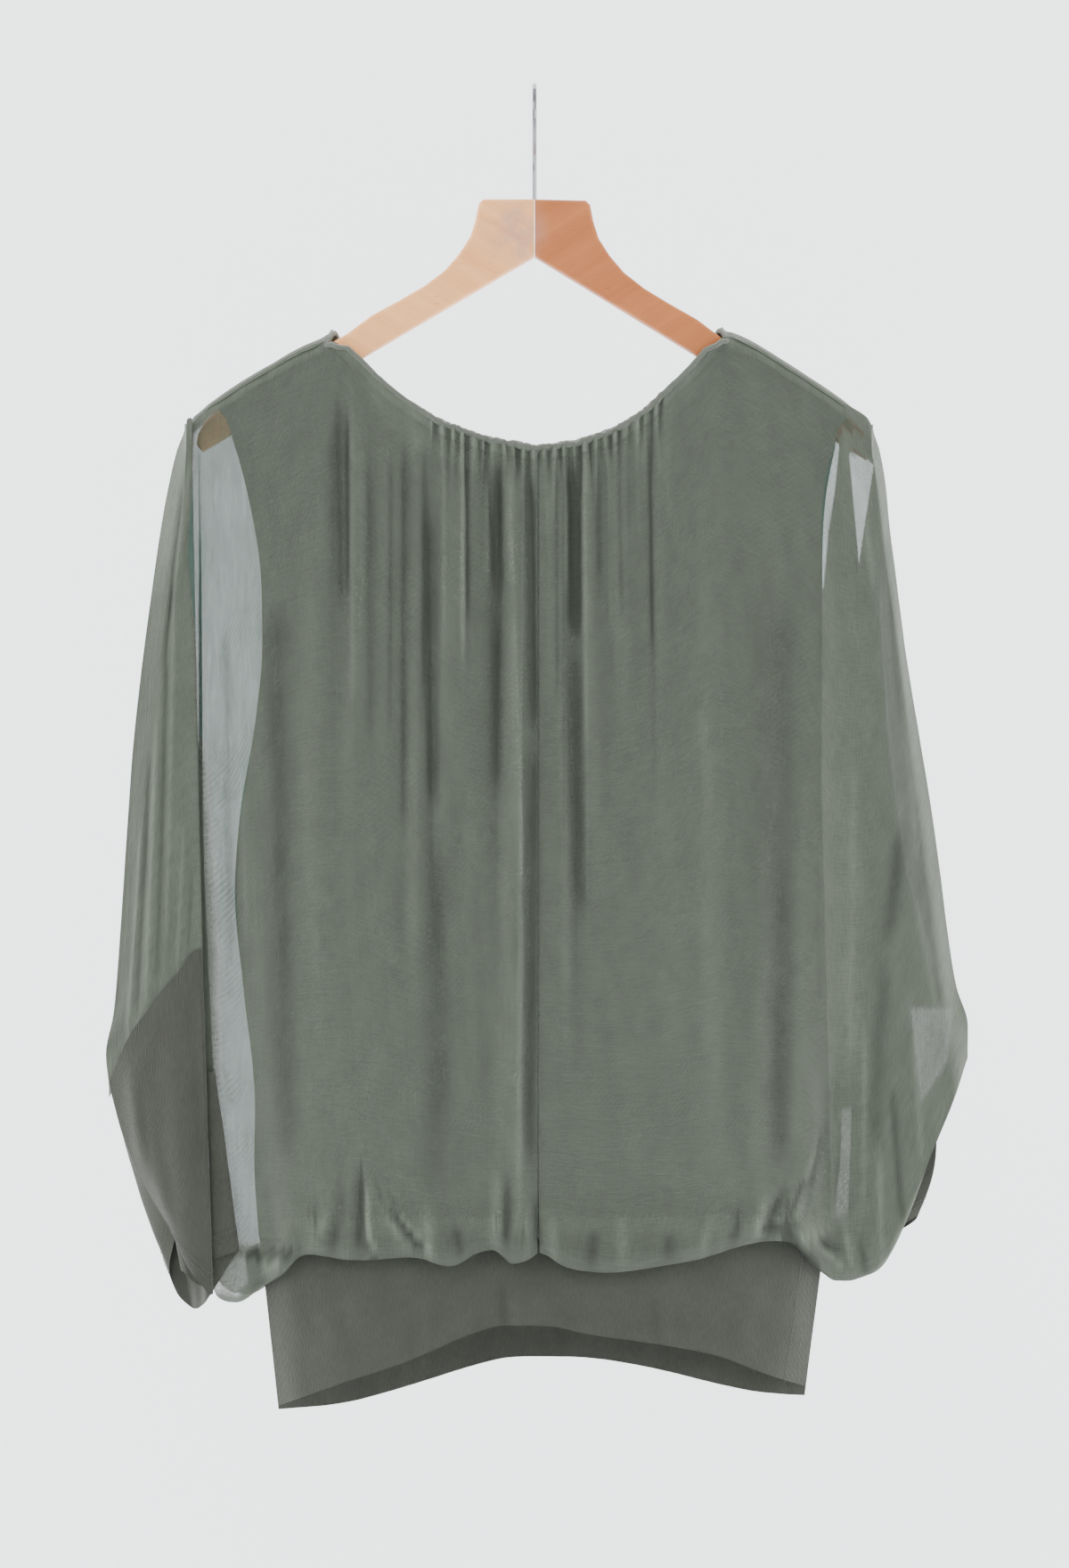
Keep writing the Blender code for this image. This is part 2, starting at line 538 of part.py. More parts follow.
def casing_path():
    """The ring that the rolled neck edge follows: along the front, over an arm, along the back, and home."""
    def neck_point(x, facing):
        z = top_outline(x)
        slope = (top_outline(x + 0.004) - top_outline(x - 0.004)) / 0.008
        away = stand_off(x, z, CHIFFON_LIFT - WEB_OFFSET) + WEB_OFFSET
        rise = NECK_STAND - NECK_DROP + CASING_CLEAR * math.hypot(1.0, slope)
        return x, facing * (away - CASING_INSET), z + rise

    def over_arm(neck_x, side, turns):
        points = []
        for turn in turns:
            share = (90 + turn) / 40 if turn < -50 else (90 - turn) / 140
            x = neck_x - side * NECK_BLEND * (1 - 2 * share)
            centre_z = top_outline(x) - share * CHIFFON_LIFT + (1 - share) * (NECK_STAND - NECK_DROP)
            away = stand_off(x, centre_z, CHIFFON_LIFT - WEB_OFFSET) + WEB_OFFSET + CASING_INSET
            angle = math.radians(turn)
            beside = x - side * CASING_BESIDE
            points.append((beside, away * math.sin(angle), centre_z + away * math.cos(angle)))
        return points

    left, right = NECK_POINTS
    across = np.linspace(left + 0.010, right - 0.010, 26)
    front = [neck_point(x, -1) for x in across]
    back = [neck_point(x, 1) for x in across[::-1]]
    turns = (-80, -64, -50, -25, 0, 25, 50, 72)
    return front + over_arm(right, 1, turns) + back + over_arm(left, -1, turns[::-1])


def hook_path():
    """The wire's path from its open end over the top and down to the block."""
    top = HOOK_WIRE / 2
    path = []
    for angle in np.radians(np.arange(HOOK_OPEN_ANGLE, -121, -15)):
        path.append((0.0, HOOK_RADIUS * math.sin(angle), top - HOOK_RADIUS + HOOK_RADIUS * math.cos(angle)))
    return path + [(0.0, y * MM, z * MM) for y, z in HOOK_NECK]


def unit(vectors):
    """Vectors along the last axis, made one long."""
    return vectors / np.maximum(np.linalg.norm(vectors, axis=-1, keepdims=True), TINY)


def bisector(points, axis, closed):
    """Mean of the directions of the steps before and after each point of a grid along an axis."""
    steps = unit(np.roll(points, -1, axis) - points)
    before = np.roll(steps, 1, axis)
    if not closed:
        last = points.shape[axis] - 1
        steps = np.where((np.arange(last + 1) == last).reshape((-1, 1) if axis else (-1, 1, 1)), before, steps)
        before = np.where((np.arange(last + 1) == 0).reshape((-1, 1) if axis else (-1, 1, 1)), steps, before)
    return (steps + before) / 2


def grid_normals(points, closed):
    """Normals of a grid of points, lengthened at a turn so that a wall set off along them keeps its thickness."""
    across = bisector(points, 0, closed)
    along = bisector(points, 1, False)
    turned = np.linalg.norm(across, axis=2, keepdims=True) * np.linalg.norm(along, axis=2, keepdims=True)
    return unit(np.cross(across, along)) / np.maximum(turned, MITRE_LIMIT)


def finish_object(name, mesh, material):
    """Turn a bmesh into a smooth shaded object with its faces pointing out."""
    bmesh.ops.recalc_face_normals(mesh, faces=mesh.faces)
    data = bpy.data.meshes.new(name)
    mesh.to_mesh(data)
    mesh.free()
    data.shade_smooth()
    data.set_sharp_from_angle(angle=math.radians(50))
    data.materials.append(material)
    item = bpy.data.objects.new(name, data)
    bpy.context.scene.collection.objects.link(item)
    return item


def face_of_wall(points, normals, reach, closed):
    """A wall's surface at reach from its middle one, drawn in where a tight turn would make it cross itself."""
    reach = np.full(points.shape[:2], reach)
    for _ in range(TURN_TRIES):
        grid = points + normals * reach[..., None]
        tight = np.zeros(reach.shape, dtype=bool)
        for axis in (0, 1):
            middle_step = np.roll(points, -1, axis) - points
            step = np.roll(grid, -1, axis) - grid
            crossed = (middle_step * step).sum(axis=2) < TURN_ROOM * (middle_step ** 2).sum(axis=2)
            if axis == 1:
                crossed[:, -1] = False
            elif not closed:
                crossed[-1] = False
            tight |= crossed | np.roll(crossed, 1, axis)
        reach[tight] *= TURN_EASE
    return points + normals * reach[..., None]


def wall(name, points, thickness, material, closed=False):
    """A cloth wall round the middle surface given by a grid of points, open or closed into a tube."""
    normals = grid_normals(points, closed)
    mesh = bmesh.new()
    faces = []
    for side in (0.5, -0.5):
        grid = face_of_wall(points, normals, thickness * side, closed)
        faces.append([[mesh.verts.new(point) for point in line] for line in grid])
    columns, rows = points.shape[:2]
    for i in range(columns if closed else columns - 1):
        k = (i + 1) % columns
        for j in range(rows - 1):
            falling = np.linalg.norm(points[k, j + 1] - points[i, j])
            rising = np.linalg.norm(points[i, j + 1] - points[k, j])
            for side in faces:
                a, b, c, d = side[i][j], side[k][j], side[k][j + 1], side[i][j + 1]
                mesh.faces.new((a, b, c) if falling < rising else (a, b, d))
                mesh.faces.new((a, c, d) if falling < rising else (b, c, d))
        for j in (0, rows - 1):
            mesh.faces.new((faces[0][i][j], faces[1][i][j], faces[1][k][j], faces[0][k][j]))
    for i in () if closed else (0, columns - 1):
        for j in range(rows - 1):
            mesh.faces.new((faces[0][i][j], faces[0][i][j + 1], faces[1][i][j + 1], faces[1][i][j]))
    return finish_object(name, mesh, material)


def tube(name, path, radius, sides, material, closed):
    """A round tube along a path, as a closed ring or with flat ends."""
    path = np.asarray(path)
    count = len(path)
    mesh = bmesh.new()
    rings = []
    across = np.array((1.0, 0.0, 0.0))
    for i in range(count):
        before = path[i - 1] if closed or i else path[i]
        after = path[(i + 1) % count] if closed or i < count - 1 else path[i]
        along = (after - before) / np.linalg.norm(after - before)
        if closed:
            across = np.cross(along, (0.0, 0.3, 1.0))
        across = across - along * np.dot(across, along)
        across = across / np.linalg.norm(across)
        up = np.cross(across, along)
        ring = []
        for k in range(sides):
            angle = 2 * math.pi * k / sides
            ring.append(mesh.verts.new(path[i] + radius * (math.cos(angle) * across + math.sin(angle) * up)))
        rings.append(ring)
    for i in range(count if closed else count - 1):
        ring, following = rings[i], rings[(i + 1) % count]
        for k in range(sides):
            n = (k + 1) % sides
            mesh.faces.new((ring[k], ring[n], following[n], following[k]))
    if not closed:
        mesh.faces.new(rings[0])
        mesh.faces.new(rings[-1][::-1])
    return finish_object(name, mesh, material)


def hanger_arm(name, side, material):
    """One glued half of the hanger: a flat board cut to the outline, its long edges rounded."""
    mesh = bmesh.new()
    outline = [(side * x * MM, (z - side * x * HANGER_TILT) * MM) for x, z in ARM_OUTLINE]
    front = [mesh.verts.new((x, -ARM_THICKNESS / 2, z)) for x, z in outline]
    face = mesh.faces.new(front)
    solid = bmesh.ops.extrude_face_region(mesh, geom=[face])
    moved = [item for item in solid["geom"] if isinstance(item, bmesh.types.BMVert)]
    bmesh.ops.translate(mesh, verts=moved, vec=(0.0, ARM_THICKNESS, 0.0))
    rounded = []
    for edge in mesh.edges:
        start, end = (vert.co for vert in edge.verts)
        at_joint = max(abs(start.x), abs(end.x)) < ARM_EDGE
        if abs(start.y - end.y) < MM and not at_joint:
            rounded.append(edge)
    bmesh.ops.bevel(mesh, geom=rounded, offset=ARM_EDGE, offset_type="OFFSET", segments=2, profile=0.5,
                    affect="EDGES", clamp_overlap=True)
    return finish_object(name, mesh, material)


def cloth_material(name, colour, alpha=1.0, roughness=0.75):
    """A Principled material for cloth or wood."""
    material = bpy.data.materials.new(name)
    material.use_nodes = True
    shader = material.node_tree.nodes["Principled BSDF"]
    shader.inputs["Base Color"].default_value = (*colour, 1.0)
    shader.inputs["Roughness"].default_value = roughness
    shader.inputs["Alpha"].default_value = alpha
    return material


def metal_material(name):
    """The hook's bright steel."""
    material = cloth_material(name, (0.60, 0.60, 0.62), roughness=0.22)
    material.node_tree.nodes["Principled BSDF"].inputs["Metallic"].default_value = 1.0
    return material


def main():
    """Build every piece of the blouse and its hanger."""
    clear_scene()
    chiffon = cloth_material("sheer chiffon", (0.075, 0.090, 0.075), alpha=0.45)
    lining = cloth_material("opaque lining", (0.150, 0.165, 0.140))
    jersey = cloth_material("cotton jersey", (0.115, 0.120, 0.100), roughness=0.9)
    wood = cloth_material("varnished beech", (0.62, 0.40, 0.25), roughness=0.4)
    wall("front_left", seen_true(front_panel(-1)), CHIFFON_WALL, chiffon)
    wall("front_right", seen_true(front_panel(1)), CHIFFON_WALL, chiffon)
    wall("back", seen_true(back_panel()), CHIFFON_WALL, chiffon)
    tube("neck_casing", seen_true(np.array(casing_path())), CASING_RADIUS, 6, chiffon, closed=True)
    wall("lining_front", seen_true(vest_panel(-1)), LINING_WALL, lining)
    wall("lining_back", seen_true(vest_panel(1)), LINING_WALL, lining)
    wall("band_front", seen_true(band_panel(-1)), JERSEY_WALL, jersey)
    wall("band_back", seen_true(band_panel(1)), JERSEY_WALL, jersey)
    wall("cuff_left", seen_true(cuff_tube(LEFT_CUFF)), JERSEY_WALL, jersey, closed=True)
    wall("cuff_right", seen_true(cuff_tube(RIGHT_CUFF)), JERSEY_WALL, jersey, closed=True)
    hanger_arm("hanger_arm_left", -1, wood)
    hanger_arm("hanger_arm_right", 1, wood)
    tube("hanger_hook", hook_path(), HOOK_WIRE / 2, 8, metal_material("polished steel"), closed=False)


if __name__ == "__main__":
    main()
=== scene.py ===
"""Looks of a draped blouse on a wooden hanger.

A sheer batwing blouse over an opaque vest, with a gathered neck, jersey cuffs and a jersey hip band, on a
flat wooden hanger. Each piece of cloth is a thin shell on the form of its solid. Sizes are in metres, with
+Z up and +Y to the back.
"""

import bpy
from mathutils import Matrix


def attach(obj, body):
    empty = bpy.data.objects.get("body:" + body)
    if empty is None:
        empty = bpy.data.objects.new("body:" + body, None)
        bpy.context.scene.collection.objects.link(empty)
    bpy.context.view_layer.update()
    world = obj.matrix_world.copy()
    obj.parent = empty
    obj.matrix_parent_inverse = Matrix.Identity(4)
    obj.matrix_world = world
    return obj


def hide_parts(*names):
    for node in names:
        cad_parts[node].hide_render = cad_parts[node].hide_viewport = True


bl_info = {
    "name": "Draped blouse",
    "version": (1, 0, 0),
    "blender": (4, 5, 0),
    "location": "View3D > Sidebar > Blouse",
    "description": "Dresses a draped blouse on its hanger: sheer cloth, vest, jersey, stitches and stage",
    "category": "Object",
}

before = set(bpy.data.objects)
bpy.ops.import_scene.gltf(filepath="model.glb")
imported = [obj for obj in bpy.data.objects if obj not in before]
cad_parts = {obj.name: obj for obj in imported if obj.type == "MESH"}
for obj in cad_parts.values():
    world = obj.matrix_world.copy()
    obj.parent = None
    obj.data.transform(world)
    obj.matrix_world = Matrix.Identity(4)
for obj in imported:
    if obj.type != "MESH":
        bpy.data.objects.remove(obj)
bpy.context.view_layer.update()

import math

import bpy
import numpy as np
from bpy.props import FloatProperty, FloatVectorProperty, PointerProperty
from mathutils import Vector

CHIFFON_WALL = 0.0010
JERSEY_WALL = 0.0014
SEAM_GAP = 0.0003
CENTRE_SEAM = 0.0026      # x of the stitched seam down the front
CHIFFON_LIFT = 0.0110     # middle of the sheer cloth from the hanger's middle plane, over the arms
LINING_LIFT = 0.0076      # middle of the vest's cloth from the same plane, over the arms
WEB_OFFSET = 0.0042       # sheer cloth from the middle plane where nothing lies under it
VEST_OFFSET = 0.0010      # vest's cloth from the same plane
EDGE_OFFSET = 0.0001      # either panel from the same plane at a seam that joins front and back
LAYER_STEP = 0.0030       # from one layer of a pleat to the next
HEM_ROLL = 0.0100         # height of the roll where the bloused cloth turns in to the band
HEM_ROLL_SHARE = 0.96     # share of a half turn that the roll makes where it meets the band
CUT_END = 0.0006          # fall of the last rows where a panel is cut at the cuff
BAND_CLEAR = 0.0021       # from the band's cloth to the sheer cloth that turns in to it
VEST_DROP = 0.0012        # the vest's neck edge lies this far below the sheer cloth's
VEST_END = 0.0012         # the vest ends this far above the band
CASING_CLEAR = 0.0023     # from the panels' neck edge to the middle of the roll
CASING_BESIDE = 0.0014    # the same where the edge runs over an arm
CASING_SINK = 0.0032      # the roll lies this much lower where it goes over an arm
CASING_INSET = 0.0008     # the roll sits this far in from the sheer cloth, over the vest's edge too
NECK_DROP = 0.0052        # the panels' neck edge lies this far below the outline, under the roll
NECK_STAND = 0.0015       # height of the narrow stand along the panels' neck edge
BAND_TOP = -0.7445
BAND_BOTTOM = -0.8450
EYE_HEIGHT = -0.450       # height and distance from which the outline sizes were taken
EYE_DISTANCE = 2.35
MM = 0.001


# Upper outline of the cloth, left sleeve head to right sleeve head (mm): x, z
TOP_OUTLINE = (
    (-226, -221), (-220, -213), (-208, -202), (-190, -190), (-171, -179), (-150, -167), (-131, -159),
    (-114, -174), (-102, -186.5), (-87, -199), (-62, -215), (-32, -226), (0, -231.7), (26, -229),
    (52, -220.5), (72, -208.4), (92, -189.4), (104, -177.3), (121, -157.5), (130, -158.5), (146, -167),
    (165, -179), (182, -190), (200, -202), (213.5, -213.5), (220.5, -225), (222, -231),
)
NECK_POINTS = (-0.131, 0.121)           # where the neck edge meets the arms
NECK_BLEND = 0.005                      # half the length over which it turns on to them

# Outer edges of the sleeves (mm): z, left x, right x
SLEEVE_EDGES = (
    (-221, -226, 219), (-231, -230, 222), (-242, -233, 225), (-265, -238, 227.5), (-288, -242, 230),
    (-334, -248.5, 236), (-380, -254.5, 242), (-432, -260, 251), (-490, -264, 260), (-542, -267.5, 266.5),
    (-582, -270.5, 273), (-601, -272.5, 280), (-625, -277, 280), (-646, -275, 273),
)

# Sides of the opaque vest: armholes above, side seams below (mm): z, left x, right x
VEST_SIDES = (
    (-205, -204, 203), (-225, -196, 197), (-248, -189, 190.5), (-290, -180, 186.5), (-338, -175.5, 186),
    (-390, -178, 189), (-440, -185, 194), (-500, -194, 198), (-560, -191, 198.5), (-640, -181, 198),
    (-700, -181, 197), (-744, -178, 188),
)
ARMHOLE_FOOT = (0.470, 0.520)           # how far down the armhole closes into the side seam
VEST_INTO_BAND = (0.680, 0.730)         # how far down the vest's round becomes the band's

# Lower edge of the bloused cloth (mm): x, z
HEM_OUTLINE = (
    (-153, -754), (-113, -759), (-78, -757), (-55, -763), (-29, -752), (-11, -762), (4, -754),
    (17, -762), (46, -767), (81, -763), (107, -758), (127, -752), (141, -748), (165, -746),
)

# How the body rounds out down the garment (mm): z, half depth, half width
BODY_DEPTH = (
    (-160, 2, 199), (-230, 9, 199), (-300, 15, 199), (-400, 23, 199), (-500, 30, 199), (-600, 36, 196),
    (-700, 41, 188), (-770, 42, 184),
)
BODY_MIDDLE = 0.004
VEST_NARROWER = 0.012     # the vest's round is this much narrower than the sheer cloth's, to either side

# Hem of the jersey band (mm): x, z at the front, z at the back
BAND_HEM = (
    (-166, -852, -854), (-124, -837, -850), (-82, -823, -839), (-47, -808, -828), (-20, -800, -821),
    (4, -800, -820), (37, -806, -821), (79, -812, -828), (120, -820, -838), (146, -830, -843),
    (174, -839, -845),
)
BAND_SIDES_TOP = (-0.1775, 0.1875)
BAND_SIDES_LOW = (-0.1655, 0.1745)
BAND_DEPTHS = (0.0240, 0.0290)          # half depth at the top and at the hem
BAND_COLUMNS, BAND_ROWS = 22, 5

# Folds down the front (mm): x at the neck, x halfway, x at the hem, height, and where along the fall it
# starts and ends, from 0 to 1. A negative height is a trough.
FOLDS = (
    (-152, -152, -146, -1.2, 0.15, 0.90), (-138, -136, -130, 1.6, 0.05, 0.80),
    (-125, -125, -120, -1.4, 0.02, 0.55), (-115, -116, -112, 2.2, 0.02, 0.60),
    (-104, -106, -102, -1.2, 0.02, 0.45), (-92, -94, -92, 2.0, 0.02, 0.50),
    (-82, -83, -81, -1.3, 0.02, 0.80), (-73, -74, -72, 2.4, 0.00, 0.75),
    (-64, -66, -64, -1.5, 0.00, 0.95), (-55, -57, -56, 2.0, 0.00, 0.60), (-46, -46, -47, 3.6, 0.00, 0.50),
    (-37, -37, -38, 1.5, 0.00, 0.70), (-28, -25, -27, -1.6, 0.00, 0.55), (-18, -12, -14, 5.5, 0.00, 1.00),
    (-8, -4, -5, -1.5, 0.00, 1.00), (8, 8, 9, 1.6, 0.00, 0.85), (16, 16, 18, 3.2, 0.00, 0.80),
    (25, 25, 27, -1.6, 0.00, 0.90), (33, 34, 37, 3.4, 0.00, 0.60), (42, 44, 48, -1.2, 0.00, 0.55),
    (52, 54, 58, 2.4, 0.00, 0.45), (63, 66, 70, -1.2, 0.02, 0.40), (73, 77, 81, 2.2, 0.02, 0.40),
    (85, 90, 95, -1.0, 0.05, 0.60), (101, 106, 110, 1.6, 0.10, 0.90), (122, 124, 123, -1.0, 0.15, 1.00),
    (142, 144, 138, 1.8, 0.15, 1.00), (160, 160, 152, -1.3, 0.15, 1.00),
)
FOLD_SPREAD = 0.0062      # half width of a fold

# More lines down the front, where the neck edge turns over the arms, in the first three columns
NECK_LINES = ((-134, -132, -127), (-129, -129, -124), (112, 115, 116), (118, 120, 120), (127, 131, 129))

# Lines down the front's sleeve parts, left to right (mm): x at the top, x halfway, x at the end, z of the
# end, layer (0 is the sleeve's edge, 1 the cloth next to the back, higher ones lie before it in a pleat),
# way that a pleat turns there (-1 left, 1 right), and finish of the end (0 cut at the cuff's seam,
# 0.5 closed against the back, 1 rolled in to the band)
LEFT_LINES = (
    (-226, -256, -275, -646, 0.0, 0, 0.0), (-225, -243, -252, -597, 3.0, 0, 0.0),
    (-222, -219, -215, -556, 3.0, 1, 0.0), (-223, -234, -232, -573, 2.0, 0, 0.0),
    (-224, -249, -250, -590, 1.5, -1, 0.0), (-221, -232, -228, -612, 1.0, 0, 0.0),
    (-218, -218, -211, -637, 1.0, 0, 0.0), (-214, -211, -206, -780, 1.0, 0, 0.5),
    (-210, -199, -193, -785, 1.0, 0, 0.5), (-202, -187, -181, -779, 1.0, 0, 0.5),
    (-188, -172, -164, -768, 1.0, 0, 0.8),
)
RIGHT_LINES = (
    (175, 173, 166, -748, 1.0, 0, 1.0), (190, 186, 181, -762, 1.0, 0, 0.8),
    (199, 194, 195, -771, 1.0, 0, 0.5), (208, 212, 222, -764, 2.4, 0, 0.5),
    (214, 226, 238, -738, 3.2, 0, 0.5), (217, 237, 256, -690, 3.6, 0, 0.0),
    (218, 244, 270, -656, 3.6, 0, 0.0), (219, 251, 277, -626, 0.0, 0, 0.0),
)

# Lines down the back, in the same columns without the pleat's turn
BACK_LINES = (
    (-226, -256, -275, -646, 0.0, 0.0), (-223, -246, -254, -618, 0.8, 0.0),
    (-220, -231, -231, -618, 1.0, 0.0), (-217, -218, -211, -637, 1.0, 0.0),
    (-214, -211, -206, -768, 1.0, 0.5), (-210, -199, -193, -779, 1.0, 0.5),
    (-202, -187, -181, -779, 1.0, 0.5), (-188, -172, -164, -768, 1.0, 0.8),
    (-172, -162, -152, -757, 1.0, 1.0), (-153, -148, -141, -756, 1.0, 1.0),
    (-140, -137, -132, -757, 1.0, 1.0), (-134, -130, -124, -757, 1.0, 1.0),
    (-131, -125, -118, -757, 1.0, 1.0), (-128, -120, -112, -758, 1.0, 1.0),
    (-121, -112, -104, -758, 1.0, 1.0), (-110, -104, -95, -757, 1.0, 1.0),
    (-96, -90, -82, -757, 1.0, 1.0), (-78, -74, -66, -760, 1.0, 1.0), (-58, -56, -50, -759, 1.0, 1.0),
    (-38, -36, -33, -756, 1.0, 1.0), (-18, -17, -16, -760, 1.0, 1.0), (2, 2, 2, -757, 1.0, 1.0),
    (22, 21, 20, -760, 1.0, 1.0), (42, 41, 38, -762, 1.0, 1.0), (60, 60, 56, -759, 1.0, 1.0),
    (76, 78, 74, -762, 1.0, 1.0), (90, 94, 92, -758, 1.0, 1.0), (102, 106, 105, -757, 1.0, 1.0),
    (111, 114, 113, -755, 1.0, 1.0), (117, 120, 120, -753, 1.0, 1.0), (121, 126, 126, -752, 1.0, 1.0),
    (125, 131, 132, -751, 1.0, 1.0), (133, 138, 139, -750, 1.0, 1.0), (148, 151, 151, -748, 1.0, 1.0),
    (165, 165, 164, -748, 1.0, 1.0), (186, 182, 181, -762, 1.0, 0.8), (199, 194, 195, -771, 1.0, 0.5),
    (205, 206, 208, -770, 1.0, 0.5), (210, 218, 226, -758, 1.0, 0.5), (214, 230, 240, -727, 1.0, 0.5),
    (217, 243, 256, -690, 0.8, 0.0), (219, 251, 277, -626, 0.0, 0.0),
)

# Left cuff, a jersey tube laid in one pleat, in order round it (mm): x and z at the seam, x and z at the
# hem, and y at the seam and at the hem
LEFT_CUFF = (
    (-274, -648.5, -232, -742, -1.5, -2.0), (-262, -619, -229, -752, -9.0, -10.0),
    (-247, -597.5, -223, -764, -11.5, -13.0), (-231, -578, -215, -774, -12.5, -14.5),
    (-217, -562, -209, -780, -12.6, -14.5), (-214.5, -563, -207.5, -779, -11.2, -13.0),
    (-217, -567, -209, -777, -9.8, -11.8), (-230, -593, -220, -772, -8.8, -11.0),
    (-240, -607, -226, -766, -8.2, -10.4), (-242.5, -612, -228.5, -764, -6.2, -8.6),
    (-239, -617, -225, -763, -4.2, -6.8), (-222, -637, -207, -757, -6.4, -9.4),
    (-208, -641, -193, -752, -8.6, -10.4), (-205.5, -642, -190.5, -751, -7.2, -9.0),
    (-208.5, -642, -195, -757, -5.9, -7.4), (-214, -641, -212, -784, -5.6, -6.4),
    (-217, -639, -215, -787, 1.5, 1.0), (-226, -631, -218, -789, 3.5, 4.0),
    (-240, -624, -222, -788, 4.5, 8.0), (-256, -626, -231, -779, 4.5, 8.0),
    (-270, -643, -236, -762, 2.0, 3.5),
)

# Right cuff, tucked behind the sleeve, in the same columns
RIGHT_CUFF = (
    (258, -660, 248, -729, 0.8, 7.5), (256, -662, 241, -733, 2.4, 6.0), (253, -664, 233, -738, 4.3, 5.4),
    (250, -664, 225, -744, 6.0, 6.6), (234.5, -640, 217, -752, 7.9, 8.4),
    (220.5, -622, 209, -756, 8.6, 9.5), (207, -634, 204, -753, 9.0, 11.0),
    (205.5, -640, 202.5, -751, 12.5, 14.5), (211, -630, 207, -753, 16.0, 18.5),
    (230, -650, 220, -747, 18.9, 21.0), (246, -668, 235, -739, 17.6, 19.5),
    (257, -658, 246, -732, 10.6, 13.5),
)
CUFF_ROWS = 7
CUFF_BOW = 0.006          # how far the cuffs' sides bow outwards

# Rows down a panel, as shares of the fall
FALL = np.array([0.0, 0.03, 0.08, 0.15, 0.25, 0.36, 0.48, 0.60, 0.71, 0.81, 0.89, 0.95, 1.0])
VEST_FALL = np.array([0.0, 0.04, 0.10, 0.18, 0.28, 0.38, 0.48, 0.58, 0.70, 0.82, 0.92, 1.0])
VEST_COLUMNS = (-204, -194, -178, -158, -140, -135, -131, -127, -120, -104, -82, -58, -32, -4, 24, 50, 74, 94,
                110, 117, 121, 125, 131, 148, 168, 186, 195, 203)     # top x (mm)
ROLL_STEPS = np.array([0.34, 0.67, 1.0])
SEAM_ANGLE = math.radians(50)           # the shoulder seam lies this far forward of the arm's top
SEAM_TURN = 0.15                        # angle left open between front and back at that seam
VEST_SEAM_TURN = 0.21                   # the same for the vest
TIP_RECEDES = 0.35                      # share of the back's turn over the arm that is lost at its tip
TIP_FROM, TIP_TO = 0.206, 0.222         # where along the arm that loss begins and is whole
HALF_WAY = (0.0, 0.5, 1.0)
MITRE_LIMIT = 0.62                      # a turn's normals grow by one over this at most
TINY = 1e-12
ARM_FOOT_MIDDLE = -0.112  # height of the arms' lower edge in the middle
ARM_FOOT_SLOPE = 0.60     # its fall for each metre out
FOLD_FADES = ((-0.02, 0.05), (-0.25, 0.02))   # how a fold comes in at its start and goes at its end
BOW_FADE = (216.0, 250.0)     # x (mm) between which the cuffs' bow comes in
NECK_PROBE = 0.004            # how far each way the neck edge's slope is read
CASING_POINTS = 26            # points of the roll along the front, and along the back
CASING_START = 0.010          # how far in from the neck points they begin
SHORTEST_STEP = 1e-5          # least length between rows of a grid, so that no two share a key
COVER_FADE = (0.002, 0.060)   # how far below the arms the cloth begins and ends leaving their round


def column(rows, index):
    """One column of a table in millimetres, as metres."""
    return np.array([row[index] for row in rows], dtype=float) * MM


def smooth_through(keys, values, at):
    """A smooth curve through the points (keys, values), read at the places in at."""
    keys = np.asarray(keys, dtype=float)
    values = np.asarray(values, dtype=float)
    at = np.clip(at, keys[0], keys[-1])
    steps = np.diff(values) / np.diff(keys)
    slopes = np.concatenate(([steps[0]], (steps[1:] + steps[:-1]) / 2.0, [steps[-1]]))
    turning = np.concatenate(([False], steps[1:] * steps[:-1] <= 0, [False]))
    slopes[turning] = 0.0
    index = np.clip(np.searchsorted(keys, at) - 1, 0, len(keys) - 2)
    span = keys[index + 1] - keys[index]
    part = (at - keys[index]) / span
    rise = 3 * part ** 2 - 2 * part ** 3
    return (values[index] + (values[index + 1] - values[index]) * rise
            + span * slopes[index] * (part ** 3 - 2 * part ** 2 + part)
            + span * slopes[index + 1] * (part ** 3 - part ** 2))


def ease(value, low, high):
    """0 below low, 1 above high, and a smooth step between them."""
    part = np.clip((value - low) / (high - low), 0.0, 1.0)
    return part * part * (3 - 2 * part)


def top_outline(x):
    """Height of the upper outline at x."""
    return np.interp(x, column(TOP_OUTLINE, 0), column(TOP_OUTLINE, 1))


def window(value, start, end, fade_in, fade_out):
    """1 from start to end and 0 outside, with smooth steps between the offsets of each fade."""
    begun = ease(value, start + fade_in[0], start + fade_in[1])
    return begun * (1.0 - ease(value, end + fade_out[0], end + fade_out[1]))


def on_shoulder(x):
    """1 where the cloth lies over the hanger's arms, 0 in the neck opening."""
    fades = (-NECK_BLEND, NECK_BLEND)
    return 1.0 - window(x, *NECK_POINTS, fades, fades)


def arm_cover(x, z):
    """1 over the hanger's arms, fading to 0 below them."""
    arm_foot = ARM_FOOT_MIDDLE - ARM_FOOT_SLOPE * np.abs(x)
    return 1.0 - ease(arm_foot - z, *COVER_FADE)


def stand_off(x, z, lift, narrower=0.0):
    """Distance from the middle plane of cloth that clears the arms by lift and rounds over the body."""
    keys = column(BODY_DEPTH, 0)[::-1]
    depth = smooth_through(keys, column(BODY_DEPTH, 1)[::-1], z)
    half_width = smooth_through(keys, column(BODY_DEPTH, 2)[::-1], z) - narrower
    across = np.clip(1.0 - ((x - BODY_MIDDLE) / half_width) ** 2, 0.0, 1.0)
    return np.hypot(depth * np.sqrt(across), lift * arm_cover(x, z))


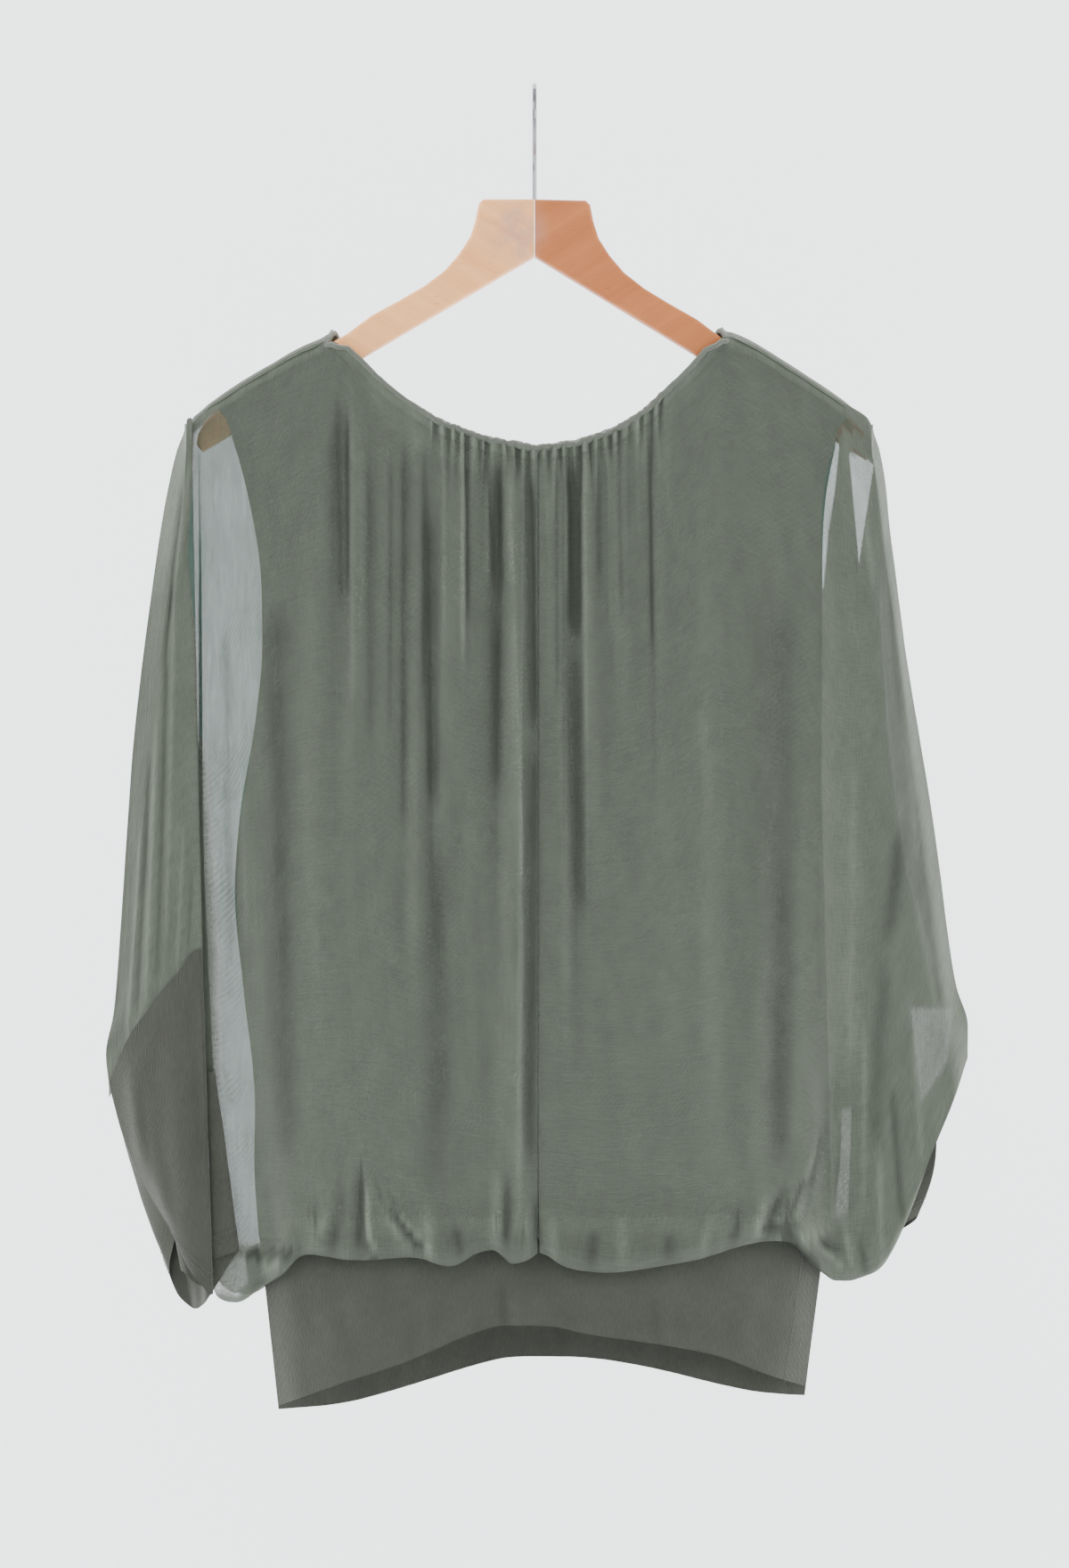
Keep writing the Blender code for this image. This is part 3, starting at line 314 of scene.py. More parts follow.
def band_depth(x, z):
    """Half depth of the hip band at x, z, and the seam's own at its sides."""
    down = (BAND_TOP - z) / (BAND_TOP - BAND_BOTTOM)
    left = BAND_SIDES_TOP[0] + (BAND_SIDES_LOW[0] - BAND_SIDES_TOP[0]) * down
    right = BAND_SIDES_TOP[1] + (BAND_SIDES_LOW[1] - BAND_SIDES_TOP[1]) * down
    depth = BAND_DEPTHS[0] + (BAND_DEPTHS[1] - BAND_DEPTHS[0]) * down
    across = np.clip((x - left) / (right - left), 0.0, 1.0)
    edge = EDGE_OFFSET + (JERSEY_WALL - CHIFFON_WALL) / 2
    return edge + (depth - edge) * np.sqrt(np.sin(math.pi * across))


def seen_true(points):
    """Move points from the outline as seen at the hanger's plane to their true place at their depth."""
    scale = (EYE_DISTANCE + points[..., 1]) / EYE_DISTANCE
    moved = points.copy()
    moved[..., 0] = points[..., 0] * scale
    moved[..., 2] = EYE_HEIGHT + (points[..., 2] - EYE_HEIGHT) * scale
    return moved


def fold_relief(x):
    """Height of the front's folds down a column whose places across are x."""
    height = np.zeros_like(FALL)
    for top_x, mid_x, low_x, high, start, end in FOLDS:
        centre = smooth_through(HALF_WAY, (top_x * MM, mid_x * MM, low_x * MM), FALL)
        fade = window(FALL, start, end, *FOLD_FADES)
        height += high * MM * fade * np.exp(-((x - centre) / FOLD_SPREAD) ** 2)
    return height


def line_path(top_x, mid_x, low_x, low_z):
    """Positions x and z down one line of a panel, for the shares in FALL (sizes in mm)."""
    x = smooth_through(HALF_WAY, (top_x * MM, mid_x * MM, low_x * MM), FALL)
    top_z = top_outline(top_x * MM)
    return x, top_z + (low_z * MM - top_z) * FALL


def sleeve_edge_path(side, low_z):
    """Positions x and z down a sleeve's outer edge, for the shares in FALL (low_z in mm)."""
    keys = column(SLEEVE_EDGES, 0)[::-1]
    values = column(SLEEVE_EDGES, 1 if side < 0 else 2)[::-1]
    z = keys[-1] + (low_z * MM - keys[-1]) * FALL
    return smooth_through(keys, values, z), z


def arm_arch(x, centre_z, radius, shoulder, facing, seam_turn):
    """The first points of a column, round the arm from the shoulder seam, or a narrow stand at the neck."""
    start = math.pi / 2 - shoulder * (math.pi / 2 - SEAM_ANGLE)
    if facing > 0:
        at_tip = ease(abs(x), TIP_FROM, TIP_TO)
        start = math.pi / 2 - shoulder * (math.pi / 2 + SEAM_ANGLE - seam_turn) * (1 - TIP_RECEDES * at_tip)
    angles = np.linspace(start, math.pi / 2, 3 if facing < 0 else 6)[:-1]
    stand = (1 - shoulder) * NECK_STAND * np.arange(len(angles), 0, -1) / len(angles)
    y = facing * radius * np.sin(angles)
    return np.stack([x + 0 * angles, y, centre_z + radius * np.cos(angles) + stand], axis=1)


def panel_column(path, offset, finish_share, facing, edge=False):
    """Points down one column of a sheer panel: over the arm, down the fall and round its lower end.

    facing is -1 for the front and 1 for the back. finish_share is 0 where the end is cut at the cuff,
    0.5 where it closes against the other panel and 1 where it rolls in and up to the band.
    """
    x, z = path
    shoulder = 0.0 if edge else on_shoulder(x[0])
    centre_z = z[0] - shoulder * CHIFFON_LIFT - (0.0 if edge else (1 - shoulder) * NECK_DROP)
    turned = ease(finish_share, 0.0, 0.5)
    fall_z = z + (centre_z - z[0]) * (1.0 - FALL) + turned * HEM_ROLL * FALL
    away = offset + np.zeros_like(x)
    if not edge:
        away = away + stand_off(x, z, CHIFFON_LIFT - WEB_OFFSET)
    if facing < 0 and finish_share >= 1:
        away = away + fold_relief(x)
    arch = arm_arch(x[0], centre_z, away[0], shoulder, facing, SEAM_TURN)
    fall = np.stack([x, facing * away, fall_z], axis=1)
    inner = max(EDGE_OFFSET + offset - WEB_OFFSET, EDGE_OFFSET)
    if BAND_SIDES_TOP[0] < x[-1] < BAND_SIDES_TOP[1]:
        inner = band_depth(x[-1], BAND_TOP) + BAND_CLEAR
    reach = math.pi / 2 * (1 + max(0.0, 2 * finish_share - 1) * HEM_ROLL_SHARE)
    closing = turned * (away[-1] - inner) / (1 - math.cos(reach))
    rolled = []
    for a in ROLL_STEPS * reach:
        down = turned * HEM_ROLL * math.sin(a) + (1 - turned) * CUT_END * a
        rolled.append((x[-1], facing * (away[-1] - closing * (1 - math.cos(a))), fall_z[-1] - down))
    return np.concatenate([arch, fall, np.array(rolled)])


def pleat_turn(path, offset, turn):
    """The three columns round the turn of a pleat, from the layer behind to the layer before."""
    x, z = path
    radius = LAYER_STEP / 4
    return [((x, z), offset - radius), ((x + turn * radius, z), offset), ((x, z), offset + radius)]


def hem_height(x):
    """Height in mm of the lowest point of the bloused cloth, x in mm."""
    return smooth_through(column(HEM_OUTLINE, 0), column(HEM_OUTLINE, 1), x * MM) / MM


def sleeve_columns(lines, side, facing):
    """Columns of the sleeve and web part of a panel, left to right."""
    columns = []
    for top_x, mid_x, low_x, low_z, layer, turn, finish_share in lines:
        if layer == 0:
            path = sleeve_edge_path(-1 if top_x < 0 else 1, low_z)
            columns.append(panel_column(path, EDGE_OFFSET, 0.0, facing, edge=True))
            continue
        path = line_path(top_x, mid_x, low_x, low_z)
        offset = WEB_OFFSET + LAYER_STEP * (layer - 1)
        if turn == 0:
            columns.append(panel_column(path, offset, finish_share, facing))
            continue
        turns = [panel_column(*bend, finish_share, facing) for bend in pleat_turn(path, offset, turn)]
        columns += turns[::-1] if side < 0 else turns
    return columns


def front_panel(side):
    """Middle surface of one half of the front with its sleeve, columns left to right."""
    body = []
    for top_x, mid_x, low_x in sorted([row[:3] for row in FOLDS] + list(NECK_LINES)):
        if np.sign(top_x) == side:
            body.append(panel_column(line_path(top_x, mid_x, low_x, hem_height(low_x)), WEB_OFFSET, 1.0, -1))
    seam_x = (CENTRE_SEAM + side * (SEAM_GAP + CHIFFON_WALL) / 2) / MM
    seam = [panel_column(line_path(seam_x, seam_x, seam_x, hem_height(seam_x)), WEB_OFFSET, 1.0, -1)]
    if side < 0:
        return np.array(sleeve_columns(LEFT_LINES, side, -1) + body + seam)
    return np.array(seam + body + sleeve_columns(RIGHT_LINES, side, -1))


def back_panel():
    """Middle surface of the back with both its sleeves, columns left to right."""
    lines = [(*row[:5], 0, row[5]) for row in BACK_LINES]
    return np.array(sleeve_columns(lines, 1, 1))


def vest_panel(facing):
    """Middle surface of the front or back of the vest, columns left to right."""
    keys, left, right = (column(VEST_SIDES, index)[::-1] for index in range(3))
    columns = []
    for place in VEST_COLUMNS:
        top_x = place * MM
        share = (top_x - left[-1]) / (right[-1] - left[-1])
        shoulder = on_shoulder(top_x)
        centre_z = top_outline(top_x) - shoulder * CHIFFON_LIFT - (1 - shoulder) * (NECK_DROP + VEST_DROP)
        z = centre_z + (BAND_TOP + VEST_END - centre_z) * VEST_FALL
        x = smooth_through(keys, left, z) * (1 - share) + smooth_through(keys, right, z) * share
        away = stand_off(x, z, LINING_LIFT - VEST_OFFSET, VEST_NARROWER) + VEST_OFFSET
        into_band = ease(-z, *VEST_INTO_BAND)
        away = away * (1 - into_band) + band_depth(x, BAND_TOP) * into_band
        if place in (VEST_COLUMNS[0], VEST_COLUMNS[-1]):
            closed = ease(-z, *ARMHOLE_FOOT)
            away = away * (1 - closed) + EDGE_OFFSET * closed
        arch = arm_arch(top_x, centre_z, away[0], shoulder, facing, VEST_SEAM_TURN)
        columns.append(np.concatenate([arch, np.stack([x, facing * away, z], axis=1)]))
    return np.array(columns)


def band_panel(facing):
    """Middle surface of the front or back of the hip band, columns left to right."""
    columns = []
    down = np.linspace(0.0, 1.0, BAND_ROWS)
    for share in np.linspace(0.0, 1.0, BAND_COLUMNS):
        top_x = BAND_SIDES_TOP[0] + (BAND_SIDES_TOP[1] - BAND_SIDES_TOP[0]) * share
        low_x = BAND_SIDES_LOW[0] + (BAND_SIDES_LOW[1] - BAND_SIDES_LOW[0]) * share
        hem = smooth_through(column(BAND_HEM, 0), column(BAND_HEM, 1 if facing < 0 else 2), low_x)
        x = top_x + (low_x - top_x) * down
        z = BAND_TOP + (hem - BAND_TOP) * down
        at_side = share in (0.0, 1.0)       # where front and back meet
        depth = np.full_like(x, EDGE_OFFSET) if at_side else band_depth(x, z)
        columns.append(np.stack([x, facing * depth, z], axis=1))
    return np.array(columns)


def cuff_tube(lines):
    """Middle surface of a cuff, a tube whose columns go round it."""
    columns = []
    down = np.linspace(0.0, 1.0, CUFF_ROWS)
    for seam_x, seam_z, hem_x, hem_z, seam_y, hem_y in lines:
        bow = np.sign(seam_x) * CUFF_BOW * ease(abs(seam_x), *BOW_FADE) * np.sin(math.pi * down)
        x = (seam_x + (hem_x - seam_x) * down) * MM + bow
        z = (seam_z + (hem_z - seam_z) * down) * MM
        y = (seam_y + (hem_y - seam_y) * down) * MM
        columns.append(np.stack([x, y, z], axis=1))
    return np.array(columns)


def casing_path():
    """The ring that the rolled neck edge follows: along the front, over an arm, along the back, and home."""
    def neck_point(x, facing):
        z = top_outline(x)
        slope = (top_outline(x + NECK_PROBE) - top_outline(x - NECK_PROBE)) / (2 * NECK_PROBE)
        away = stand_off(x, z, CHIFFON_LIFT - WEB_OFFSET) + WEB_OFFSET
        rise = NECK_STAND - NECK_DROP + CASING_CLEAR * math.hypot(1.0, slope)
        return x, facing * (away - CASING_INSET), z + rise

    def over_arm(neck_x, side, turns):
        points = []
        for turn in turns:
            share = (90 + turn) / 40 if turn < -50 else (90 - turn) / 140
            x = neck_x - side * NECK_BLEND * (1 - 2 * share)
            centre_z = top_outline(x) - share * CHIFFON_LIFT + (1 - share) * (NECK_STAND - NECK_DROP)
            away = stand_off(x, centre_z, CHIFFON_LIFT - WEB_OFFSET) + WEB_OFFSET + CASING_INSET
            angle = math.radians(turn)
            beside = x - side * CASING_BESIDE
            points.append((beside, away * math.sin(angle), centre_z - CASING_SINK + away * math.cos(angle)))
        return points

    left, right = NECK_POINTS
    across = np.linspace(left + CASING_START, right - CASING_START, CASING_POINTS)
    front = [neck_point(x, -1) for x in across]
    back = [neck_point(x, 1) for x in across[::-1]]
    turns = (-80, -64, -50, -25, 0, 25, 50, 72)
    return front + over_arm(right, 1, turns) + back + over_arm(left, -1, turns[::-1])


def unit(vectors):
    """Vectors along the last axis, made one long."""
    return vectors / np.maximum(np.linalg.norm(vectors, axis=-1, keepdims=True), TINY)


def bisector(points, axis, closed):
    """Mean of the directions of the steps before and after each point of a grid along an axis."""
    steps = unit(np.roll(points, -1, axis) - points)
    before = np.roll(steps, 1, axis)
    if not closed:
        places = np.arange(points.shape[axis]).reshape((-1, 1) if axis else (-1, 1, 1))
        steps = np.where(places == places.max(), before, steps)
        before = np.where(places == 0, steps, before)
    return (steps + before) / 2


def grid_normals(points, closed):
    """Normals of a grid, lengthened at a turn so that a wall set off along them keeps its thickness."""
    across = bisector(points, 0, closed)
    along = bisector(points, 1, False)
    turned = np.linalg.norm(across, axis=2, keepdims=True) * np.linalg.norm(along, axis=2, keepdims=True)
    return unit(np.cross(across, along)) / np.maximum(turned, MITRE_LIMIT)


# Creases on the front (mm, as seen from the front): x and z of one end, x and z of the other,
# height (a trough is negative) and half width
FRONT_CREASES = (
    (-127, -196, -125, -340, -1.0, 2.2), (-121.5, -205, -121, -335, -0.9, 1.5),
    (-118, -200, -117, -400, 0.8, 2.4), (-106, -240, -106, -430, -0.5, 3.0),
    (-92.7, -235, -93.5, -420, -0.6, 2.0), (-83.5, -230, -84.5, -480, -0.6, 2.4),
    (-70.8, -228, -71.5, -400, -0.7, 1.8), (-67, -270, -66, -470, -0.9, 4.0),
    (-58.5, -228, -58, -360, 0.6, 1.5), (-46.3, -224, -46.1, -372, 1.3, 1.3),
    (-43.6, -228, -43.2, -350, -1.0, 1.5), (-31, -232, -30, -330, 0.7, 1.6),
    (-25, -236, -24, -330, -1.9, 3.4), (-24, -300, -25, -460, -0.9, 4.5),
    (-17.8, -236, -14, -330, 1.0, 1.8), (-14, -330, -8, -520, 0.8, 2.2), (-8, -520, -11, -740, 0.7, 2.4),
    (-3.5, -245, -1, -420, -1.5, 3.0), (-1, -420, -4, -700, -1.0, 4.2), (7.0, -238, 8.5, -300, 0.8, 1.2),
    (14.4, -236, 15, -400, -0.9, 1.4), (20, -236, 20.5, -330, 0.8, 1.5),
    (26, -236, 26.5, -360, -2.0, 3.6), (26.5, -360, 29, -540, -1.0, 4.6),
    (31.7, -232, 33, -430, 0.9, 1.7), (41, -230, 42.5, -330, -0.8, 1.6), (48, -226, 49.5, -360, 0.8, 1.4),
    (54, -224, 56.5, -350, -0.8, 1.6), (65, -219, 68, -300, 0.5, 1.6), (74, -214, 76, -372, -1.0, 1.8),
    (84, -205, 87, -290, 0.4, 2.2), (160, -330, 158, -700, -0.5, 9.0),
    (-165, -330, -160, -700, -0.5, 8.0), (-62, -480, -60, -720, -0.5, 7.0),
    (86, -420, 92, -640, 0.4, 8.0),
)

# Tucks above the rolled hem, in the same columns
HEM_TUCKS = (
    (-148, -757, -128, -716, 0.9, 4.0), (-132, -760, -122, -700, -0.9, 4.5),
    (-113, -760, -112, -692, -1.3, 3.6), (-108, -759, -106, -700, 1.1, 3.0),
    (-102, -712, -78, -757, 1.5, 3.4), (-99, -708, -83, -742, -1.2, 3.0),
    (-66, -762, -70, -716, 0.9, 3.6), (-47, -761, -52, -728, -0.9, 3.4), (-26, -752, -23, -690, 1.2, 3.6),
    (-19, -756, -17, -700, -1.4, 3.0), (-5, -758, -6, -716, 0.8, 2.6), (3, -752, 0, -712, -1.2, 2.6),
    (14, -764, 9, -722, 0.9, 3.2), (36, -766, 39, -732, -0.8, 4.0), (58, -766, 54, -728, 0.7, 4.0),
    (84, -764, 88, -738, -0.8, 4.0), (106, -760, 112, -730, 0.8, 3.6), (124, -755, 136, -722, -0.9, 3.4),
    (140, -748, 150, -712, 1.2, 3.0), (146, -746, 162, -709, -1.5, 2.4), (154, -741, 172, -707, 1.7, 2.4),
    (162, -737, 179, -697, -1.6, 2.4), (167, -732, 184, -679, 1.8, 2.6),
    (172, -730, 189, -668, -1.5, 2.8), (158, -745, 196, -738, 1.3, 2.6),
    (150, -742, 170, -734, -2.0, 3.0), (176, -746, 204, -752, -0.9, 3.4),
    (-176, -770, -160, -757, 1.1, 3.0), (-184, -777, -164, -764, -1.0, 2.6),
)

# Creases down the sleeves and the web under the arms, in the same columns
SLEEVE_CREASES = (
    (-222, -236, -233, -330, 0.9, 1.8), (-226, -246, -240, -380, -0.9, 1.8),
    (-232, -330, -238, -560, 0.6, 1.6), (-237, -360, -244, -585, -0.7, 1.8),
    (-243, -400, -251, -598, 0.7, 1.8), (-248, -430, -257, -605, -0.7, 1.8),
    (-253, -470, -263, -620, 0.7, 1.6), (-226, -470, -231, -575, 0.6, 1.4),
    (-221, -500, -224, -566, -0.6, 1.4), (-192, -320, -186, -560, 0.4, 2.4),
    (-200, -340, -196, -600, -0.4, 2.6), (-196, -560, -187, -740, 0.4, 3.0),
    (-203, -660, -194, -770, -0.4, 2.6), (-181, -700, -172, -772, 0.7, 3.0),
    (210, -245, 220, -330, 0.7, 2.0), (226, -280, 238, -420, -0.6, 2.4), (232, -330, 247, -500, 0.6, 2.6),
    (238, -470, 226, -560, -1.0, 5.0), (226, -560, 218, -690, -0.6, 5.0),
    (244, -520, 262, -610, 0.6, 2.4), (206, -430, 203, -640, 0.4, 2.6), (213, -600, 212, -730, 0.6, 2.2),
    (222, -680, 224, -762, 0.9, 2.4), (230, -640, 238, -742, -0.9, 2.6), (244, -600, 250, -700, 0.7, 2.4),
    (198, -726, 206, -766, 1.0, 2.6), (211, -742, 214, -770, -1.0, 2.6),
)

# Softer creases down the back, in the same columns
BACK_CREASES = (
    (-112, -205, -114, -420, -1.1, 3.0), (-96, -212, -99, -520, 1.2, 3.4),
    (-82, -216, -84, -460, -1.0, 3.0), (-63, -222, -66, -600, 1.4, 3.6),
    (-51, -226, -52, -400, -1.2, 2.6), (-38, -228, -40, -470, 1.3, 2.8),
    (-24, -231, -24, -640, -1.5, 3.6), (-9, -233, -10, -520, 1.3, 2.6), (4, -233, 5, -420, -1.3, 2.6),
    (17, -231, 18, -700, 1.6, 3.6), (33, -228, 36, -480, -1.2, 3.0), (48, -223, 51, -560, 1.2, 3.0),
    (64, -216, 68, -420, -1.1, 3.0), (80, -207, 85, -520, 1.0, 3.6), (98, -192, 103, -440, -0.9, 3.4),
    (-150, -340, -146, -700, 0.8, 7.0), (148, -330, 146, -690, -0.8, 7.0),
    (-128, -755, -118, -700, 1.0, 4.0), (-92, -757, -97, -690, -1.1, 4.0),
    (-52, -758, -48, -704, 1.0, 3.6), (-12, -757, -16, -690, -1.2, 3.8), (28, -759, 32, -712, 1.0, 3.6),
    (70, -760, 66, -698, -1.1, 4.0), (112, -756, 118, -702, 1.0, 3.8),
)

# Soft creases in the jersey: band, then cuffs, in the same columns
BAND_CREASES = (
    (-84, -770, -76, -838, -0.5, 5.0), (-70, -780, -69, -826, 0.5, 4.0),
    (-22, -764, -18, -806, -0.8, 3.6), (-14, -768, -12, -804, 0.5, 3.4), (74, -772, 80, -818, -0.6, 3.6),
    (84, -770, 88, -820, 0.4, 4.0), (-150, -776, -120, -820, 0.4, 6.0), (150, -762, 128, -826, 0.4, 6.0),
    (10, -772, 60, -790, 0.25, 4.0), (112, -768, 150, -800, -0.3, 5.0),
)
CUFF_CREASES = (
    (-262, -628, -254, -700, 0.9, 4.0), (-256, -640, -246, -716, -0.6, 4.0),
    (-238, -610, -226, -760, 0.5, 6.0), (-222, -590, -214, -700, -0.4, 4.0),
    (-246, -660, -222, -770, -0.4, 5.0), (-203, -650, -197, -744, 0.4, 3.0),
    (268, -640, 240, -728, 0.7, 3.0), (258, -650, 232, -735, -0.7, 3.0),
)

# Bands down the body of painted shade (painted light where negative), where the folds hang so that they look
# darker or
# lighter (mm): x at the top, x at the bottom, half width to the left and to the right, z where they start and
# end, strength
DARK_BANDS = (
    (-130.2, -130, 2.6, 2.2, -205, -360, 0.40), (-119.7, -119, 5.0, 1.2, -205, -420, 0.55),
    (-113, -113, 1.2, 3.0, -210, -420, -0.22), (-107, -107, 1.2, 1.6, -225, -380, 0.20),
    (-92.7, -93.5, 1.2, 1.6, -225, -400, 0.22), (-84.6, -85, 1.6, 1.2, -220, -500, 0.34),
    (-69, -66, 5.0, 1.4, -250, -560, 0.46), (-60, -60, 1.4, 5.0, -244, -480, -0.12),
    (-46.6, -46.2, 0.9, 0.7, -224, -392, -0.75), (-44.0, -43.6, 0.7, 2.4, -226, -392, 0.50),
    (-31, -26, 1.0, 1.5, -232, -330, 0.50), (-23, -23.5, 3.6, 1.0, -240, -345, 0.30),
    (-24, -25, 4.0, 2.0, -330, -520, 0.40), (-15.5, -11.5, 2.0, 4.5, -240, -560, -0.26),
    (-7.2, -9.5, 0.9, 0.7, -240, -560, -0.60), (-12, -12, 4.0, 3.0, -560, -745, -0.30),
    (-0.5, 1.5, 2.2, 1.6, -238, -560, 0.26), (0, 0, 3.0, 3.5, -540, -745, 0.20),
    (9.5, 10, 1.0, 1.2, -236, -420, -0.30), (15, 15.5, 0.8, 1.4, -236, -460, -0.28),
    (18.3, 18.6, 0.7, 1.6, -236, -520, 0.35), (25, 27.5, 4.4, 1.2, -240, -600, 0.24),
    (20, 24, 3.0, 2.0, -236, -300, 0.28), (32.4, 34.5, 0.8, 1.2, -232, -560, -0.50),
    (48.4, 50.5, 1.2, 0.9, -228, -400, 0.36), (51, 53, 0.7, 1.6, -228, -400, -0.25),
    (60, 62, 1.0, 1.2, -222, -340, 0.26), (75.4, 78, 2.6, 1.2, -226, -470, 0.40),
    (150, 158, 8.0, 9.0, -300, -735, 0.34), (171, 172, 5.0, 5.0, -350, -720, -0.12),
    (-170, -162, 8.0, 8.0, -330, -725, 0.30), (-64, -64, 8.0, 8.0, -500, -735, 0.24),
    (86, 92, 8.0, 8.0, -420, -700, 0.10), (110, 112, 9.0, 9.0, -400, -700, -0.10),
)

# Patches of the body that are darker, or lighter where negative: painted shade and painted light along
# creases above the hem, painted shade on the left sleeve's outer edge, a darker patch over the hem and two
# lighter patches under the neck
# edge. Columns: strength, soft edge (mm), outline x, z (mm)
SHADE_PATCHES = (
    (-0.34, 3.0, (-112, -186), (-98, -195), (-81, -205), (-46, -222), (-19, -229), (-19, -243), (-40, -246),
     (-67, -238), (-86, -226), (-104, -204)),
    (-0.22, 3.0, (60, -216), (84, -200), (104, -178), (112, -186), (92, -212), (66, -228)),
    (0.42, 9.0, (-160, -737), (200, -737), (180, -794), (-156, -794)),
    (0.95, 1.0, (147.4, -736.9), (158.0, -731.8), (162.5, -721.7), (167.3, -711.7), (173.1, -705.8),
     (176.8, -706.9), (172.0, -714.3), (167.3, -722.3), (165.9, -728.1), (162.5, -735.0), (152.7, -739.0)),
    (0.9, 0.8, (160.6, -743.0), (169.9, -746.9), (179.2, -753.6), (185.8, -764.2), (183.2, -765.8),
     (176.5, -758.9), (168.6, -751.4), (159.8, -745.6)),
    (-0.7, 0.7, (162.5, -737.6), (169.9, -742.4), (183.2, -746.4), (195.1, -757.0), (202.3, -763.6),
     (196.4, -762.6), (183.2, -750.9), (168.9, -745.6)),
    (-0.6, 0.8, (165.7, -729.7), (173.1, -719.1), (178.4, -709.8), (181.6, -710.6), (176.3, -721.7),
     (169.4, -732.9)),
    (0.9, 1.0, (-179.1, -750.3), (-166.3, -748.3), (-149.0, -753.1), (-159.3, -758.6), (-177.5, -757.9),
     (-191.9, -754.7)),
    (0.7, 0.7, (-112.3, -691.4), (-110.0, -723.4), (-108.7, -746.4), (-101.1, -757.0), (-104.3, -759.9),
     (-111.3, -749.6), (-113.5, -723.4)),
    (-0.7, 0.6, (-109.7, -697.8), (-106.5, -723.4), (-104.6, -743.2), (-97.9, -754.7), (-100.4, -756.7),
     (-107.5, -745.1), (-109.1, -723.4)),
    (0.6, 0.8, (-103.0, -706.8), (-96.0, -720.8), (-80.0, -739.4), (-66.5, -753.8), (-69.4, -756.7),
     (-83.2, -743.2), (-99.1, -724.0)),
    (-0.6, 0.7, (-100.7, -705.5), (-92.8, -719.6), (-76.8, -737.5), (-65.9, -749.0), (-66.5, -752.2),
     (-79.3, -740.0), (-95.3, -722.1)),
    (0.42, 5.0, (-290, -330), (-243, -330), (-250, -450), (-255, -520), (-262, -610), (-290, -640)),
)

# Where the sheer cloth hangs in more or fewer layers than its shells: layers, soft edge (mm), then the
# outline's corners x, z (mm)
LAYERS = (
    (2.6, 2, (-290, -196), (-221, -223), (-226, -300), (-220, -366), (-215, -556), (-213, -640), (-240, -660),
     (-290, -700)),
    (3.2, 12, (-290, -430), (-222, -430), (-214, -560), (-213, -640), (-240, -660), (-290, -700)),
    (3.6, 1.5, (197.5, -224), (194.2, -262), (190.2, -288), (188.2, -311), (186.4, -327), (186, -450),
     (192, -700), (190, -800), (235, -800), (275, -690), (290, -600), (258, -575), (238, -500), (228, -420),
     (222, -330), (226, -270), (218, -225)),
    (1.8, 4, (222, -226), (232, -270), (240, -300), (262, -480), (290, -600), (258, -575), (238, -500),
     (228, -420), (222, -330)),
    (0.75, 0.8, (202.3, -231.6), (220.1, -242.1), (209.6, -312.4)),
    (0.75, 0.8, (195.7, -228.5), (188.6, -252.7), (186.2, -275.2), (185.8, -322.1), (187, -325.3),
     (188.2, -310.9), (190.2, -288.2), (194.2, -262.3), (197.5, -231.4)),
    (1.29, 1.5, (241.8, -593), (272, -593), (268, -630), (249.3, -659.8)),
    (1.35, 1.5, (197.5, -659), (207, -655), (203, -740), (191.7, -750)),
    (3.0, 9, (-160, -735), (200, -735), (176, -792), (-154, -792)),
    (3.0, 6, (-205, -752), (-160, -752), (-150, -790), (-205, -790)),
    (1.25, 1.5, (-207.3, -753.6), (-196.9, -750.7), (-186.5, -753.6), (-184.2, -772), (-191.1, -781),
     (-208, -778)),
    (3.4, 6, (160, -735), (205, -735), (232, -745), (225, -790), (150, -790)),
)

WEB_LAYERS = 0.97                         # layers where the sheer cloth hangs beside the vest
SEAM_STRIP = (0.0040, 0.0100)             # depth below the upper edge over which the cloth is doubled
SEAM_LAYERS = 3.0                         # layers added there along the shoulders
SEAM_OVERLAP = 0.0022                     # how far the sheer cloth reaches past a seam or into the neck roll
BAND_SEAMS = (0.1745,)                    # where the band's side seam shows on its front
BACK_LAYERS = 2.0                         # the most layers that the back's shell stands for
BACK_SHADE = 0.55                         # how dark the back's troughs are beside the front's
SLEEVE_TONGUE = (-0.2165, 0.006)          # x that the left sleeve begins at, and what it has in its cuff
BACK_TONGUE = (-0.220, 0.0045, 0.030)     # middle, half width and length of the back's part in the left cuff
ROLL_RADIUS = 0.0018                      # radius of the rolled neck edge
CUFF_OVERLAP = 0.0050                     # how far the jersey reaches over the sheer cloth at a seam

# Folds of the vest that show through, in the same columns as the front's creases
VEST_CREASES = (
    (-150, -360, -146, -700, 0.6, 8.0), (-100, -300, -98, -560, -0.5, 7.0),
    (-60, -280, -64, -680, 0.6, 8.0), (40, -300, 44, -640, -0.6, 8.0), (110, -300, 112, -700, 0.6, 9.0),
    (160, -330, 158, -700, -0.6, 9.0),
)

GATHER_SPAN = (-0.066, 0.082)             # the gathered part of the front neck edge
GATHER_COUNT = 46
GATHER_HEIGHT = 0.0014
GATHER_WIDTH = 0.0011
RELIEF_FADE = 0.012                       # length over which a crease fades at its ends
SHADE_DEPTH = 0.0011                      # depth of relief that gives the full dark or light of a fold
RELIEF_SHADE = 0.7                        # share of the full shade that relief alone gives
CREASE_LEAD = 0.004                       # a crease begins this far before its end points
GATHER_JITTER = 0.0006                    # how unevenly the gathers stand
GATHER_LENGTHS = (0.014, 0.075)           # shortest and longest gather
GATHER_HEIGHTS = (0.5, 1.3)               # least and greatest height, in shares of the one above
GATHER_WIDTHS = (0.7, 1.5)                # the same for the width
GATHER_LEAN = 0.03                        # how unevenly the gathers lean
GATHER_SPREAD = 0.25                      # share by which they spread apart for each metre down
RIPPLE_WAVES = 9                          # waves that are summed for the small unevenness of cloth
RIPPLE_SIZE = 0.016                       # middle length of those waves
RIPPLE_STRETCH = 3.0                      # how far they are drawn out down the cloth
RIPPLE_HEIGHT = 0.00012
